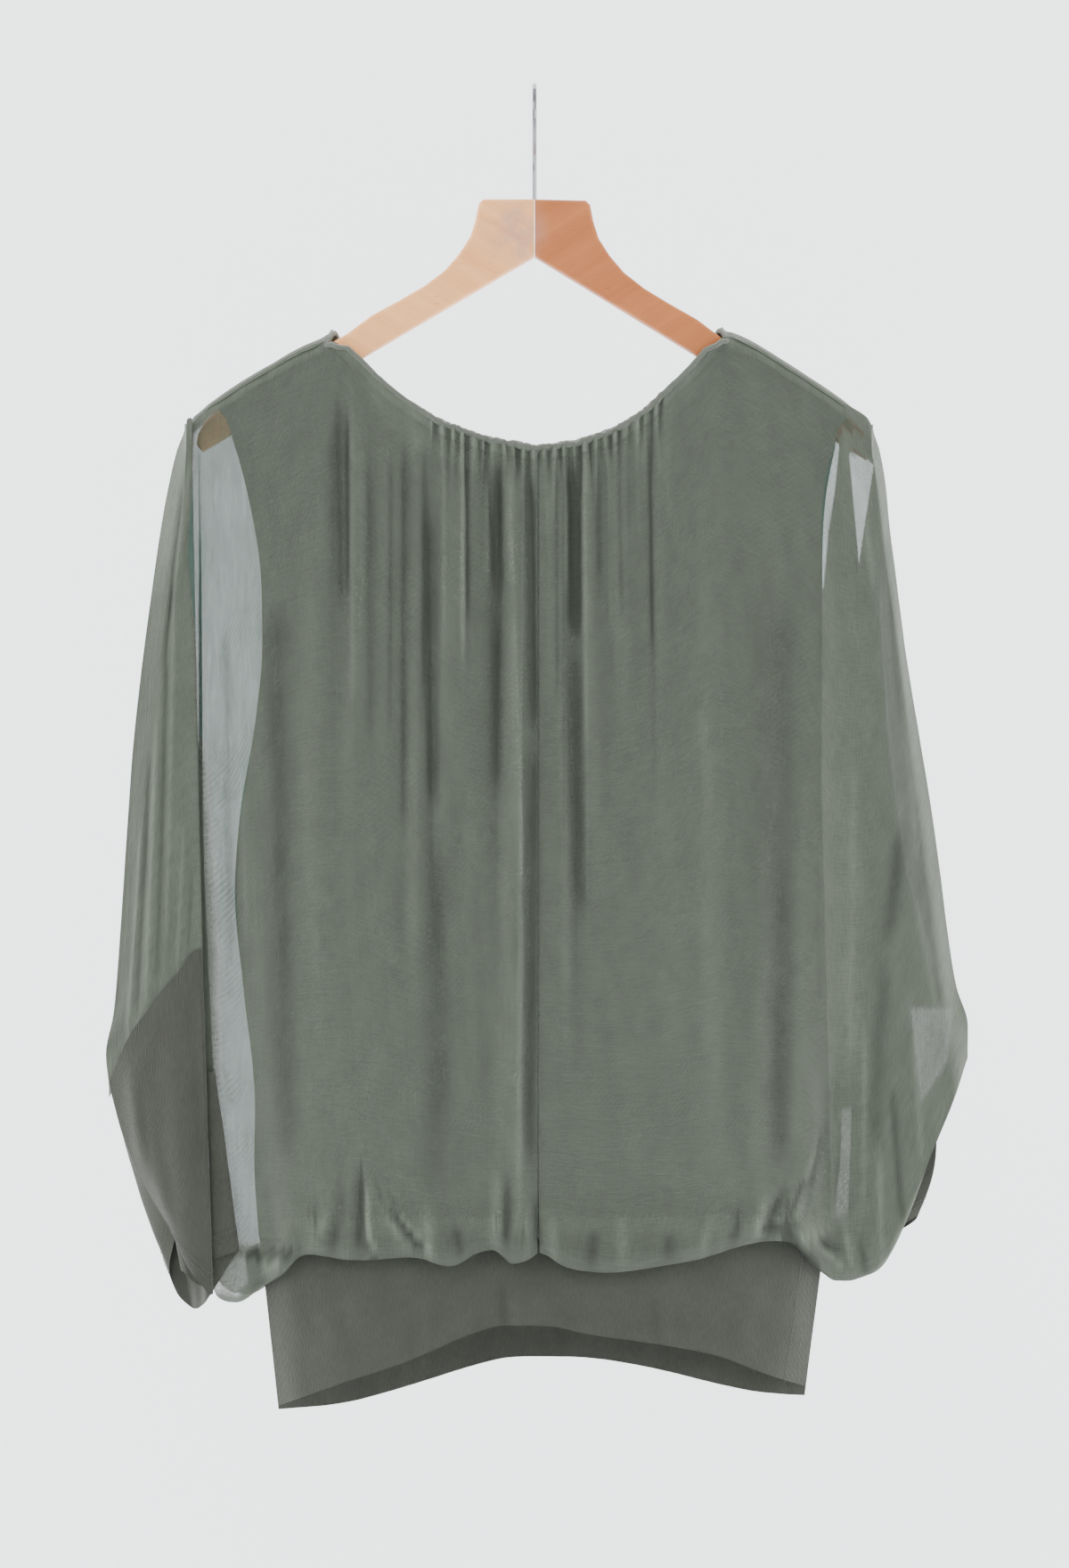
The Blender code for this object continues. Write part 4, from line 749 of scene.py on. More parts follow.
DARK_FADES = ((-0.01, 0.03), (-0.08, 0.02))     # how a dark band comes in at its top and goes at its bottom
RUFFLE_FADES = ((-0.02, 0.01), (-0.01, 0.02))   # the same for the ruffle of the neck roll, along x
RUFFLE_MIDDLE = 0.40                      # value of the ruffle's noise that leaves the roll where it is
RUFFLE_LEAST = 0.12                       # ruffle of the roll beside its gathered part, which has 1
VEST_EDGE_BLUR = 0.0008                   # half width of the step in layers at the vest's edge
OVERLAP_FADE = (0.003, 0.010)             # how far from a neck point the overlap comes in
BAND_OVERLAP = 0.004                      # how far the band reaches up over the vest
JERSEY_RIPPLES = (0.00022, 0.0002)        # height of the unevenness in the band and in the cuffs
BACK_STEP, VEST_STEP = 1.5, 2.0           # columns of the back and the vest, in steps across
BAND_STEP, CUFF_STEP = 0.7, 0.8           # rows of the band and the cuffs, in steps down
ROLL_STEP = 0.0011                        # length between the points of the neck roll
CENTRE_STITCHES = (-0.740, -0.300)        # lowest and highest stitch of the front's seam
CENTRE_FACE = -0.004                      # the seam's outer face lies before this
CENTRE_SHIFT = (-0.0002, -0.0003, 0.0)    # from the shell's edge to the stitches
HEM_ROWS = (0.0095, 0.0140)               # height of the two rows of stitches above a cuff's edge
STITCH_OUT = 0.0006                       # how far those rows stand out from the cloth

# Stage: the sweep's front edge, half width, top and bend, and what the camera looks through
SWEEP_FRONT, SWEEP_HALF, SWEEP_TOP, SWEEP_BEND = -5.0, 4.0, 2.6, 0.5
SWEEP_TURNS = 13
SENSOR_WIDTH, VIEW_END = 36.0, 50.0
ROOM_COLOUR = (0.95, 0.975, 1.0, 1.0)


def smooth_rows(keys, rows, at):
    """Smooth curves through a list of rows placed at keys, read at the places in at."""
    steps = np.diff(rows, axis=0) / np.diff(keys).reshape(-1, 1, 1)
    slopes = np.concatenate((steps[:1], (steps[1:] + steps[:-1]) / 2.0, steps[-1:]))
    slopes[1:-1][steps[1:] * steps[:-1] <= 0] = 0.0
    index = np.clip(np.searchsorted(keys, at, side="right") - 1, 0, len(keys) - 2)
    span = (keys[index + 1] - keys[index]).reshape(-1, 1, 1)
    part = ((at - keys[index]) / (keys[index + 1] - keys[index])).reshape(-1, 1, 1)
    rise = 3 * part ** 2 - 2 * part ** 3
    return (rows[index] + (rows[index + 1] - rows[index]) * rise
            + span * slopes[index] * (part ** 3 - 2 * part ** 2 + part)
            + span * slopes[index + 1] * (part ** 3 - part ** 2))


def refine(points, step_across, step_down):
    """The same surface with more columns and rows, curved smoothly between the given ones."""
    for axis, step in ((0, step_across), (1, step_down)):
        rows = np.swapaxes(points, 0, axis)
        lengths = np.maximum(np.linalg.norm(np.diff(rows, axis=0), axis=2).mean(axis=1), SHORTEST_STEP)
        keys = np.concatenate(([0.0], np.cumsum(lengths)))
        parts = np.maximum(1, np.round(lengths / step)).astype(int)
        at = [keys[i] + lengths[i] * np.arange(count) / count for i, count in enumerate(parts)]
        at = np.concatenate(at + [keys[-1:]])
        points = np.swapaxes(smooth_rows(keys, rows, at), 0, axis)
    return points


def crease_relief(x, z, creases):
    """Height at x, z of creases laid along lines, softly rounded and faded at their ends."""
    height = np.zeros_like(x)
    for x1, z1, x2, z2, high, wide in creases:
        along = np.array((x2 - x1, z2 - z1)) * MM
        length = np.hypot(*along)
        along = along / length
        run = (x - x1 * MM) * along[0] + (z - z1 * MM) * along[1]
        off = (x - x1 * MM) * along[1] - (z - z1 * MM) * along[0]
        fade_length = min(RELIEF_FADE * 2, length * 0.45)
        fade = window(run, 0.0, length, (-CREASE_LEAD, fade_length), (-fade_length, CREASE_LEAD))
        height += high * MM * fade * np.exp(-(off / (wide * MM)) ** 2)
    return height


def gather_relief(x, z, seed):
    """Small gathers that run down from the neck edge, uneven in place, length and height."""
    chance = np.random.default_rng(seed)
    height = np.zeros_like(x)
    low, high = GATHER_SPAN
    places = np.linspace(low, high, GATHER_COUNT) + chance.normal(0.0, GATHER_JITTER, GATHER_COUNT)
    for count, place in enumerate(places):
        length = chance.uniform(*GATHER_LENGTHS)
        tall = GATHER_HEIGHT * chance.uniform(*GATHER_HEIGHTS) * (-1) ** count
        wide = GATHER_WIDTH * chance.uniform(*GATHER_WIDTHS)
        lean = chance.normal(0.0, GATHER_LEAN)
        below = top_outline(place) - z
        line = place * (1 + GATHER_SPREAD * below) + lean * below
        height += tall * np.exp(-((x - line) / wide) ** 2) * (1.0 - ease(below, CREASE_LEAD, length))
    return height


def ripple(x, z, seed):
    """Smooth even noise from about -1 to 1, drawn out along z."""
    chance = np.random.default_rng(seed)
    total = np.zeros_like(x)
    for _ in range(RIPPLE_WAVES):
        turn = chance.uniform(0.0, math.pi)
        size_here = RIPPLE_SIZE * chance.uniform(0.6, 1.8)
        wave = math.cos(turn) * x + math.sin(turn) * z / RIPPLE_STRETCH
        total += np.sin(2 * math.pi * wave / size_here + chance.uniform(0.0, 6.28))
    return total / (RIPPLE_WAVES / 2)


def dark_bands(x, z):
    """Painted shade (above 0) or painted light (below 0) on the body, where it looks darker or lighter
    because of how its folds hang.
    """
    shade = np.zeros_like(x)
    for top_x, low_x, left, right, z1, z2, strength in DARK_BANDS:
        part = np.clip((z1 * MM - z) / ((z1 - z2) * MM), 0.0, 1.0)
        centre = (top_x + (low_x - top_x) * part) * MM
        fade = window(-z, -z1 * MM, -z2 * MM, *DARK_FADES)
        wide = np.where(x < centre, left, right) * MM
        shade += strength * fade * np.exp(-((x - centre) / wide) ** 2)
    for strength, soft, *outline in SHADE_PATCHES:
        shade += strength * inside_outline(x, z, outline, soft)
    return shade


def dressed_shell(points, creases, seed, closed=False, extra=None, uneven=RIPPLE_HEIGHT):
    """A shell's points and the depth of its folds, from a piece's middle surface as seen from the front."""
    x, z = points[..., 0], points[..., 2]
    relief = crease_relief(x, z, creases) + uneven * ripple(x, z, seed)
    if extra is not None:
        relief = relief + extra(x, z)
    placed = seen_true(points)
    normals = unit(grid_normals(placed, closed))
    outwards = np.where((normals * placed)[..., 1:2].mean() < 0, -1.0, 1.0)
    return placed + normals * outwards * relief[..., None], relief


def inside_outline(x, z, outline, soft):
    """How far a place lies inside an outline, from 0 outside to 1, over a soft edge."""
    corners = np.array(outline) * MM
    crossings = np.zeros(x.shape, dtype=int)
    nearest = np.full(x.shape, np.inf)
    for (x1, z1), (x2, z2) in zip(corners, np.roll(corners, -1, axis=0)):
        spans = (z1 > z) != (z2 > z)
        if z1 != z2:
            crossings += spans & (x < x1 + (z - z1) * (x2 - x1) / (z2 - z1))
        along = (x - x1) * (x2 - x1) + (z - z1) * (z2 - z1)
        part = np.clip(along / ((x2 - x1) ** 2 + (z2 - z1) ** 2), 0, 1)
        nearest = np.minimum(nearest, np.hypot(x - x1 - part * (x2 - x1), z - z1 - part * (z2 - z1)))
    signed = np.where(crossings % 2 == 1, nearest, -nearest)
    return ease(signed, -soft * MM, soft * MM)


def beside_vest(x, z):
    """1 where the sheer cloth hangs beside the vest, 0 over it."""
    keys, left, right = (column(VEST_SIDES, index)[::-1] for index in range(3))
    inside = np.minimum(x - np.interp(z, keys, left), np.interp(z, keys, right) - x)
    return 1.0 - ease(inside, -VEST_EDGE_BLUR, VEST_EDGE_BLUR)


def layers_at(x, z):
    """How many layers of sheer cloth a shell stands for: more where it is doubled, gathered or seamed."""
    layers = 1.0 + (WEB_LAYERS - 1.0) * beside_vest(x, z)
    for count, soft, *outline in LAYERS:
        inside = inside_outline(x, z, outline, soft)
        layers = layers * (1 - inside) + count * inside
    return layers + SEAM_LAYERS * (1.0 - ease(top_outline(x) - z, *SEAM_STRIP))


def longer(points, start=0.0, end=0.0):
    """The same columns, made longer at their upper or lower ends."""
    grown = points.copy()
    grown[:, 0] += unit(points[:, 0] - points[:, 1]) * start
    grown[:, -1] += unit(points[:, -1] - points[:, -2]) * end
    return grown


def new_object(name, data):
    """An object for a mesh, a light or a camera, linked to the scene."""
    item = bpy.data.objects.new(name, data)
    bpy.context.scene.collection.objects.link(item)
    return item


def cloth_object(name, points, fold, material, closed=False, layers=None):
    """A mesh from a grid of points, with a UV map in metres and attributes for the painted shade of its folds
    and its layers.
    """
    columns, rows = points.shape[:2]
    data = bpy.data.meshes.new(name)
    index = np.arange(columns * rows).reshape(columns, rows)
    left = index if closed else index[:-1]
    right = np.roll(index, -1, axis=0) if closed else index[1:]
    quads = np.stack([left[:, :-1], right[:, :-1], right[:, 1:], left[:, 1:]], axis=-1).reshape(-1, 4)
    data.from_pydata(points.reshape(-1, 3).tolist(), [], quads.tolist())
    ring = np.concatenate([points, points[:1]]) if closed else points
    across = np.linalg.norm(np.diff(ring, axis=0), axis=2).mean(axis=1)
    across = np.concatenate(([0.0], np.cumsum(across)))
    down = np.concatenate(([0.0], np.cumsum(np.linalg.norm(np.diff(points, axis=1), axis=2).mean(axis=0))))
    i, j = np.meshgrid(np.arange(len(left)), np.arange(rows - 1), indexing="ij")
    corners = [(i, j), (i + 1, j), (i + 1, j + 1), (i, j + 1)]
    uv = np.stack([np.stack([across[a], down[b]], axis=-1) for a, b in corners], axis=2)
    data.uv_layers.new(name="cloth").data.foreach_set("uv", uv.astype(np.float32).ravel())
    attribute = data.attributes.new("fold", "FLOAT", "POINT")
    attribute.data.foreach_set("value", np.asarray(fold, dtype=np.float32).ravel())
    if layers is not None:
        attribute = data.attributes.new("layers", "FLOAT", "POINT")
        attribute.data.foreach_set("value", np.asarray(layers, dtype=np.float32).ravel())
    normals, centres = np.zeros(len(quads) * 3), np.zeros(len(quads) * 3)
    data.polygons.foreach_get("normal", normals)
    data.polygons.foreach_get("center", centres)
    middle = centres[1::3].mean() if closed else 0.0
    if (normals[1::3] * (centres[1::3] - middle)).sum() < 0:
        data.flip_normals()
    data.shade_smooth()
    data.materials.append(material)
    return new_object(name, data)


def shade_of(relief, x=None, z=None):
    """Shade of a shell's folds: above 0 in troughs, below 0 on ridges, with the body's bands at x, z."""
    shade = np.clip(-relief / SHADE_DEPTH, -1.0, 1.0) * RELIEF_SHADE
    if x is not None:
        shade = shade + dark_bands(x, z)
    return np.clip(shade, -1.0, 1.0)


# Finished shells, kept so that the stitches can follow them
SHELLS = {}


def even_ring(points, step):
    """A closed ring of points, spaced about a step apart."""
    wrapped = np.concatenate([points, points[:1]])
    keys = np.concatenate(([0.0], np.cumsum(np.linalg.norm(np.diff(wrapped, axis=0), axis=1))))
    at = np.arange(0.0, keys[-1] - step / 2, step)
    return np.stack([np.interp(at, keys, wrapped[:, axis]) for axis in range(3)], axis=1)


def hem_line(points, up, outwards, closed):
    """A line along a shell, a given length up from its lower edge and just off its outer face."""
    lengths = np.linalg.norm(np.diff(points, axis=1), axis=2)
    from_hem = np.cumsum(lengths[:, ::-1], axis=1)[:, ::-1]
    from_hem = np.concatenate([from_hem, np.zeros((len(points), 1))], axis=1)
    normals = unit(grid_normals(points, closed))
    middle = points[:, -1].mean(axis=0) if closed else np.array((0.0, 0.0, 0.0))
    facing = np.sign(((points[:, -1] - middle) * normals[:, -1])[:, :2].sum())
    line = []
    for down, heights, normal in zip(points, from_hem, normals):
        place = np.array([np.interp(-up, -heights, down[:, k]) for k in range(3)])
        line.append(place + normal[-1] * facing * outwards)
    return np.array(line)


def overlap_at(columns):
    """How far each column reaches past its upper seam: nothing where the neck edge turns over an arm."""
    near = np.abs(columns[:, :1, 0] - np.array(NECK_POINTS)).min(axis=1, keepdims=True)
    return SEAM_OVERLAP * ease(near, *OVERLAP_FADE)


# Shader shares
THREAD_DRAW = 0.09             # a thread's noise is drawn out this way along it
WAVE_RATE = 0.32               # turns a wave texture's scale into waves a unit
THIN_LAYERS = (0.995, 0.975)   # layers from which the sheer cloth takes on the web's colour
WEAVE_COVER, CRINKLE_COVER, WATERED_COVER = 0.08, 0.05, 0.07   # shares of the sheer cloth's cover
TROUGH_PASSES = 0.12           # share of the light that a trough still lets through
DARK_THREAD = (0.045, 0.05, 0.042)
PALE_BEECH = (0.95, 0.475, 0.19), (0.80, 0.34, 0.115)       # light and dark of the left arm's grain
RED_BEECH = (0.47, 0.152, 0.040), (0.37, 0.107, 0.026)      # the same for the right arm
ARM_SLOPE = 0.55               # slope of the grain along each arm, in radians
# Place, spread and colour of a darker patch in the middle of the hanger
DARKER_PATCH_PLACE, DARKER_PATCH_SPREAD = (0.55, 0.0, 3.55), (40.0, 5.0, 38.0)
DARKER_PATCH_COLOUR = (0.36, 0.24, 0.24, 1.0)


def feed(tree, value, socket):
    """Link an output into a socket, or set the socket to a plain value."""
    if isinstance(value, bpy.types.NodeSocket):
        tree.links.new(value, socket)
    else:
        socket.default_value = value


def add(tree, kind, **values):
    """A node with its properties and named or numbered inputs set."""
    node = tree.nodes.new(kind)
    for key, value in values.items():
        if key.startswith("in_"):
            label = key[3:].replace("_", " ")
            feed(tree, value, node.inputs[int(label)] if label.isdigit() else node.inputs[label])
        else:
            setattr(node, key, value)
    return node


def calc(tree, operation, *parts, **values):
    """The result of a Math node."""
    node = add(tree, "ShaderNodeMath", operation=operation, **values)
    for part, socket in zip(parts, node.inputs):
        feed(tree, part, socket)
    return node.outputs[0]


def scaled(tree, vector, amount):
    """A vector or colour times a number."""
    return add(tree, "ShaderNodeVectorMath", operation="SCALE", in_0=vector, in_Scale=amount).outputs[0]


def stretched(tree, vector, amounts):
    """A vector times another, part by part."""
    return add(tree, "ShaderNodeVectorMath", operation="MULTIPLY", in_0=vector, in_1=amounts).outputs[0]


def noise(tree, vector, scale, detail, **values):
    """Noise read at a vector."""
    node = add(tree, "ShaderNodeTexNoise", in_Vector=vector, in_Scale=scale, in_Detail=detail, **values)
    return node.outputs[0]


def ramp(tree, value, low, high, to_low=0.0, to_high=1.0):
    """A value mapped from one range to another."""
    node = add(tree, "ShaderNodeMapRange", in_Value=value, in_From_Min=low, in_From_Max=high,
               in_To_Min=to_low, in_To_Max=to_high)
    return node.outputs[0]


def blend(tree, amount, first, second):
    """A mix of two colours."""
    return add(tree, "ShaderNodeMix", data_type="RGBA", in_0=amount, in_6=first, in_7=second).outputs[2]


def shader_group(name, inputs, outputs):
    """An empty shader node group: its tree, its inputs, and a function that links its outputs."""
    tree = bpy.data.node_groups.new(name, "ShaderNodeTree")
    for label, value in inputs.items():
        kind = "Vector" if value is None else "Float" if isinstance(value, float) else "Color"
        socket = tree.interface.new_socket(label, in_out="INPUT", socket_type="NodeSocket" + kind)
        if value is not None:
            socket.default_value = value
    for label in outputs:
        kind = "NodeSocketColor" if label == "Color" else "NodeSocketFloat"
        tree.interface.new_socket(label, in_out="OUTPUT", socket_type=kind)
    start, end = tree.nodes.new("NodeGroupInput"), tree.nodes.new("NodeGroupOutput")

    def finish(**results):
        for label, result in results.items():
            tree.links.new(result, end.inputs[label])
        return tree

    return tree, [start.outputs[label] for label in inputs], finish


def weave_group():
    """Fine plain weave: crossed threads with slubs, on a vector in metres."""
    tree, start, finish = shader_group(
        "fine weave", {"Vector": None, "Thread size": 0.0008, "Slub": 0.5}, ("Height", "Mask"))
    vector, thread, slub = start
    threads = scaled(tree, vector, calc(tree, "DIVIDE", 1.0, thread))
    warp = noise(tree, stretched(tree, threads, (1.0, THREAD_DRAW, 1.0)), 1.0, 2.0)
    weft = noise(tree, stretched(tree, threads, (THREAD_DRAW, 1.0, 1.0)), 1.0, 2.0)
    both = calc(tree, "ADD", warp, weft)
    slubby = calc(tree, "MULTIPLY_ADD", noise(tree, threads, 0.05, 3.0), slub, both)
    return finish(Height=both, Mask=ramp(tree, slubby, 0.8, 1.6))


def crinkle_group():
    """Soft crinkles drawn out along one way of the cloth, the larger ones broken up by smaller ones."""
    tree, start, finish = shader_group(
        "crinkle", {"Vector": None, "Size": 0.004, "Stretch": 6.0, "Turn": 0.0}, ("Height", "Mask"))
    vector, size, stretch, turn = start
    turned = add(tree, "ShaderNodeVectorRotate", rotation_type="Z_AXIS", in_Vector=vector, in_Angle=turn)
    rate = calc(tree, "DIVIDE", 1.0, size)
    slow = calc(tree, "DIVIDE", rate, stretch)
    rates = add(tree, "ShaderNodeCombineXYZ", in_X=rate, in_Y=slow, in_Z=rate).outputs[0]
    drawn = stretched(tree, turned.outputs[0], rates)
    crinkles = noise(tree, drawn, 1.0, 3.0, in_Roughness=0.55, in_Distortion=0.6)
    return finish(Height=crinkles, Mask=ramp(tree, crinkles, 0.35, 0.65))


def watered_group():
    """Watered lines, as where two layers of a fine weave cross: fine slanting lines in soft patches."""
    tree, start, finish = shader_group(
        "watered lines", {"Vector": None, "Line size": 0.0021, "Patch size": 0.05}, ("Mask",))
    vector, line, patch = start
    lines = add(tree, "ShaderNodeTexWave", wave_type="BANDS", bands_direction="DIAGONAL", in_Vector=vector,
                in_Scale=calc(tree, "DIVIDE", WAVE_RATE, line), in_Distortion=5.0, in_Detail=1.0,
                in_Detail_Scale=0.25)
    patches = noise(tree, vector, calc(tree, "DIVIDE", 1.0, patch), 1.0)
    return finish(Mask=calc(tree, "MULTIPLY", lines.outputs[1], ramp(tree, patches, 0.42, 0.60)))


def fold_group():
    """Painted shade and light: darkens the colour in troughs and lightens it on ridges, by the shell's own
    fold attribute.
    """
    tree, start, finish = shader_group(
        "fold shade", {"Color": (0.5, 0.5, 0.5, 1.0), "Fold": 0.0, "Depth": 0.3}, ("Color", "Trough"))
    colour, fold, depth = start
    value = calc(tree, "SUBTRACT", 1.0, calc(tree, "MULTIPLY", fold, depth))
    return finish(Color=scaled(tree, colour, value), Trough=ramp(tree, fold, 0.0, 1.0))


def knit_group():
    """Jersey: fine rows of stitches with a heathered, slightly fuzzy colour."""
    tree, start, finish = shader_group(
        "jersey knit", {"Vector": None, "Stitch size": 0.0009, "Dark": (0.1, 0.1, 0.1, 1.0),
                        "Light": (0.2, 0.2, 0.2, 1.0)}, ("Color", "Height"))
    vector, size, dark, light = start
    stitches = scaled(tree, vector, calc(tree, "DIVIDE", 1.0, size))
    wales = add(tree, "ShaderNodeTexWave", wave_type="BANDS", bands_direction="X", in_Vector=stitches,
                in_Scale=WAVE_RATE, in_Distortion=1.2, in_Detail=1.0, in_Detail_Scale=1.0)
    flecks = noise(tree, stretched(tree, stitches, (1.0, 0.22, 1.0)), 0.8, 3.0, in_Roughness=0.65)
    heather = calc(tree, "MULTIPLY_ADD", noise(tree, stitches, 0.035, 2.0), 0.5, flecks)
    height = calc(tree, "MULTIPLY_ADD", wales.outputs[1], 0.5, flecks)
    return finish(Color=blend(tree, ramp(tree, heather, 0.5, 1.0), dark, light), Height=height)


def grain_group():
    """Wood grain drawn out along X, with fine pores, darker streaks and worn marks."""
    tree, start, finish = shader_group(
        "wood grain", {"Vector": None, "Slope": 0.0, "Light": (0.8, 0.6, 0.4, 1.0),
                       "Dark": (0.6, 0.4, 0.2, 1.0)}, ("Color", "Height", "Wear"))
    vector, slope, light, dark = start
    turned = add(tree, "ShaderNodeVectorRotate", rotation_type="Y_AXIS", in_Vector=vector, in_Angle=slope)
    turned = turned.outputs[0]
    fine = noise(tree, stretched(tree, turned, (22.0, 260.0, 420.0)), 1.0, 5.0, in_Roughness=0.6)
    wide = noise(tree, stretched(tree, turned, (5.0, 40.0, 60.0)), 1.0, 3.0, in_Distortion=0.8)
    streaks = calc(tree, "MULTIPLY_ADD", fine, 0.45, wide)
    blotched = calc(tree, "MULTIPLY_ADD", noise(tree, turned, 28.0, 3.0), 0.5, streaks)
    marks = noise(tree, stretched(tree, vector, (70.0, 70.0, 900.0)), 1.0, 2.0, in_Distortion=1.5)
    return finish(Color=blend(tree, ramp(tree, blotched, 0.70, 1.25), light, dark), Height=fine,
                  Wear=ramp(tree, marks, 0.66, 0.76))


def group_node(tree, group, **values):
    """A node that uses a shader group, with its named inputs set."""
    node = tree.nodes.new("ShaderNodeGroup")
    node.node_tree = group
    for label, value in values.items():
        feed(tree, value, node.inputs[label.replace("_", " ")])
    return node


def new_material(name, roughness, **values):
    """A material with its Principled shader, whose constant values are set on the shader's own sockets."""
    material = bpy.data.materials.new(name)
    material.use_nodes = True
    tree = material.node_tree
    shader = tree.nodes["Principled BSDF"]
    shader.inputs["Roughness"].default_value = roughness
    for label, value in values.items():
        shader.inputs[label.replace("_", " ")].default_value = value
    return material, tree, shader


def linked_bump(tree, shader, height, distance, strength=1.0):
    """Feed a height into the shader's normal."""
    bump = add(tree, "ShaderNodeBump", in_Strength=strength, in_Distance=distance, in_Height=height)
    tree.links.new(bump.outputs[0], shader.inputs["Normal"])


def tinted(colour, share):
    """A colour made darker or lighter, with its fourth part."""
    return (*[share * part for part in colour], 1.0)


def cloth_inputs(tree):
    """The cloth's own UV map and its fold attribute, the painted shade and light of its folds."""
    return (add(tree, "ShaderNodeUVMap", uv_map="cloth").outputs[0],
            add(tree, "ShaderNodeAttribute", attribute_name="fold").outputs["Fac"])


def object_place(tree):
    """The place on the piece in its Object coordinates."""
    return add(tree, "ShaderNodeTexCoord").outputs["Object"]


def sheer_material(name, sizes, groups, crinkle_turn, crinkle_size):
    """Sheer crinkled chiffon: see-through, denser where it is doubled or folded, with a faint lustre."""
    material, tree, shader = new_material(name, 0.6, Specular_IOR_Level=0.12, Sheen_Weight=0.03,
                                          Sheen_Roughness=0.5)
    uv, fold = cloth_inputs(tree)
    layers = add(tree, "ShaderNodeAttribute", attribute_name="layers").outputs["Fac"]
    weave = group_node(tree, groups["weave"], Vector=uv, Thread_size=0.0009)
    crinkle = group_node(tree, groups["crinkle"], Vector=uv, Size=crinkle_size, Stretch=7.0,
                         Turn=crinkle_turn)
    watered = group_node(tree, groups["watered"], Vector=uv)
    thread, open_weave = tinted(sizes.sheer_colour, 0.80), tinted(sizes.sheer_colour, 1.20)
    woven = blend(tree, weave.outputs["Mask"], thread, open_weave)
    # Where a shell stands for less than one layer, the colour turns to the web colour: painted light, the
    # look of the cloth with light shining through it
    webbed = blend(tree, ramp(tree, layers, *THIN_LAYERS), woven, (*sizes.web_colour, 1.0))
    # Painted shade in the troughs and painted light on the ridges, from the fold attribute
    shaded = group_node(tree, groups["fold"], Color=webbed, Fold=fold, Depth=0.60)
    tree.links.new(shaded.outputs["Color"], shader.inputs["Base Color"])
    cover = calc(tree, "MULTIPLY_ADD", weave.outputs["Mask"], WEAVE_COVER, sizes.sheer_cover - WEAVE_COVER)
    cover = calc(tree, "MULTIPLY_ADD", crinkle.outputs["Mask"], CRINKLE_COVER, cover)
    cover = calc(tree, "MULTIPLY_ADD", watered.outputs["Mask"], WATERED_COVER, cover)
    passed = calc(tree, "POWER", calc(tree, "SUBTRACT", 1.0, cover), layers)
    open_share = ramp(tree, shaded.outputs["Trough"], 0.0, 1.0, 1.0, TROUGH_PASSES)
    passed = calc(tree, "MULTIPLY", passed, open_share)
    dense = calc(tree, "SUBTRACT", 1.0, passed, use_clamp=True)
    tree.links.new(dense, shader.inputs["Alpha"])
    height = calc(tree, "MULTIPLY_ADD", weave.outputs["Height"], 0.12, crinkle.outputs["Height"])
    linked_bump(tree, shader, height, 0.0006)
    return material


def mottled_material(name, roughness, sheen, colour, dark, light, scale, detail, depth):
    """Cloth or thread in one colour, mottled finely between a darker and a lighter tint of it."""
    material, tree, shader = new_material(name, roughness, Sheen_Weight=sheen)
    grain = noise(tree, object_place(tree), scale, detail)
    mottled = blend(tree, grain, tinted(colour, dark), tinted(colour, light))
    tree.links.new(mottled, shader.inputs["Base Color"])
    linked_bump(tree, shader, grain, depth)
    return material


def lining_material(sizes, groups):
    """Opaque lining of a fine plain weave, with a dull lustre."""
    material, tree, shader = new_material("opaque lining", 0.6, Sheen_Weight=0.15)
    uv, fold = cloth_inputs(tree)
    weave = group_node(tree, groups["weave"], Vector=uv, Thread_size=0.0011, Slub=0.8)
    crinkle = group_node(tree, groups["crinkle"], Vector=uv, Size=0.0042, Stretch=5.0, Turn=1.52)
    colour = sizes.lining_colour
    woven = blend(tree, weave.outputs["Mask"], tinted(colour, 0.90), tinted(colour, 1.10))
    # Painted shade in the troughs and painted light on the ridges, from the fold attribute
    shaded = group_node(tree, groups["fold"], Color=woven, Fold=fold, Depth=0.2)
    tree.links.new(shaded.outputs["Color"], shader.inputs["Base Color"])
    height = calc(tree, "MULTIPLY_ADD", weave.outputs["Height"], 0.2, crinkle.outputs["Height"])
    linked_bump(tree, shader, height, 0.0005)
    return material


def jersey_material(sizes, groups):
    """Matt heathered cotton jersey."""
    material, tree, shader = new_material("cotton jersey", 0.92, Sheen_Weight=0.2, Specular_IOR_Level=0.2)
    uv, fold = cloth_inputs(tree)
    knit = group_node(tree, groups["knit"], Vector=uv, Dark=tinted(sizes.jersey_colour, 0.84),
                      Light=tinted(sizes.jersey_colour, 1.18))
    # Painted shade in the troughs and painted light on the ridges, from the fold attribute
    shaded = group_node(tree, groups["fold"], Color=knit.outputs["Color"], Fold=fold, Depth=0.25)
    tree.links.new(shaded.outputs["Color"], shader.inputs["Base Color"])
    linked_bump(tree, shader, knit.outputs["Height"], 0.00035)
    return material


def wood_material(name, light, dark, slope, groups):
    """Varnished beech: fine grain along the arm, small dents and scratches, and a darker patch in the middle
    of the hanger.
    """
    material, tree, shader = new_material(name, 0.42, Specular_IOR_Level=0.4)
    place = object_place(tree)
    grain = group_node(tree, groups["grain"], Vector=place, Slope=slope, Light=(*light, 1.0),
                       Dark=(*dark, 1.0))
    # A darker patch in the middle of the hanger, broken up by noise
    centred = add(tree, "ShaderNodeMapping", in_Vector=place, in_Location=DARKER_PATCH_PLACE,
                  in_Scale=DARKER_PATCH_SPREAD)
    spread = add(tree, "ShaderNodeTexGradient", gradient_type="SPHERICAL", in_Vector=centred.outputs[0])
    rough = ramp(tree, noise(tree, place, 75.0, 4.0), 0.34, 0.70)
    darker_patch = calc(tree, "MULTIPLY", spread.outputs[1], rough)
    scratched = blend(tree, grain.outputs["Wear"], grain.outputs["Color"], tinted(dark, 0.78))
    tree.links.new(blend(tree, darker_patch, scratched, DARKER_PATCH_COLOUR), shader.inputs["Base Color"])
    gloss = ramp(tree, grain.outputs["Height"], 0.0, 1.0, 0.36, 0.52)
    tree.links.new(gloss, shader.inputs["Roughness"])
    linked_bump(tree, shader, grain.outputs["Height"], 0.0002, 0.6)
    return material


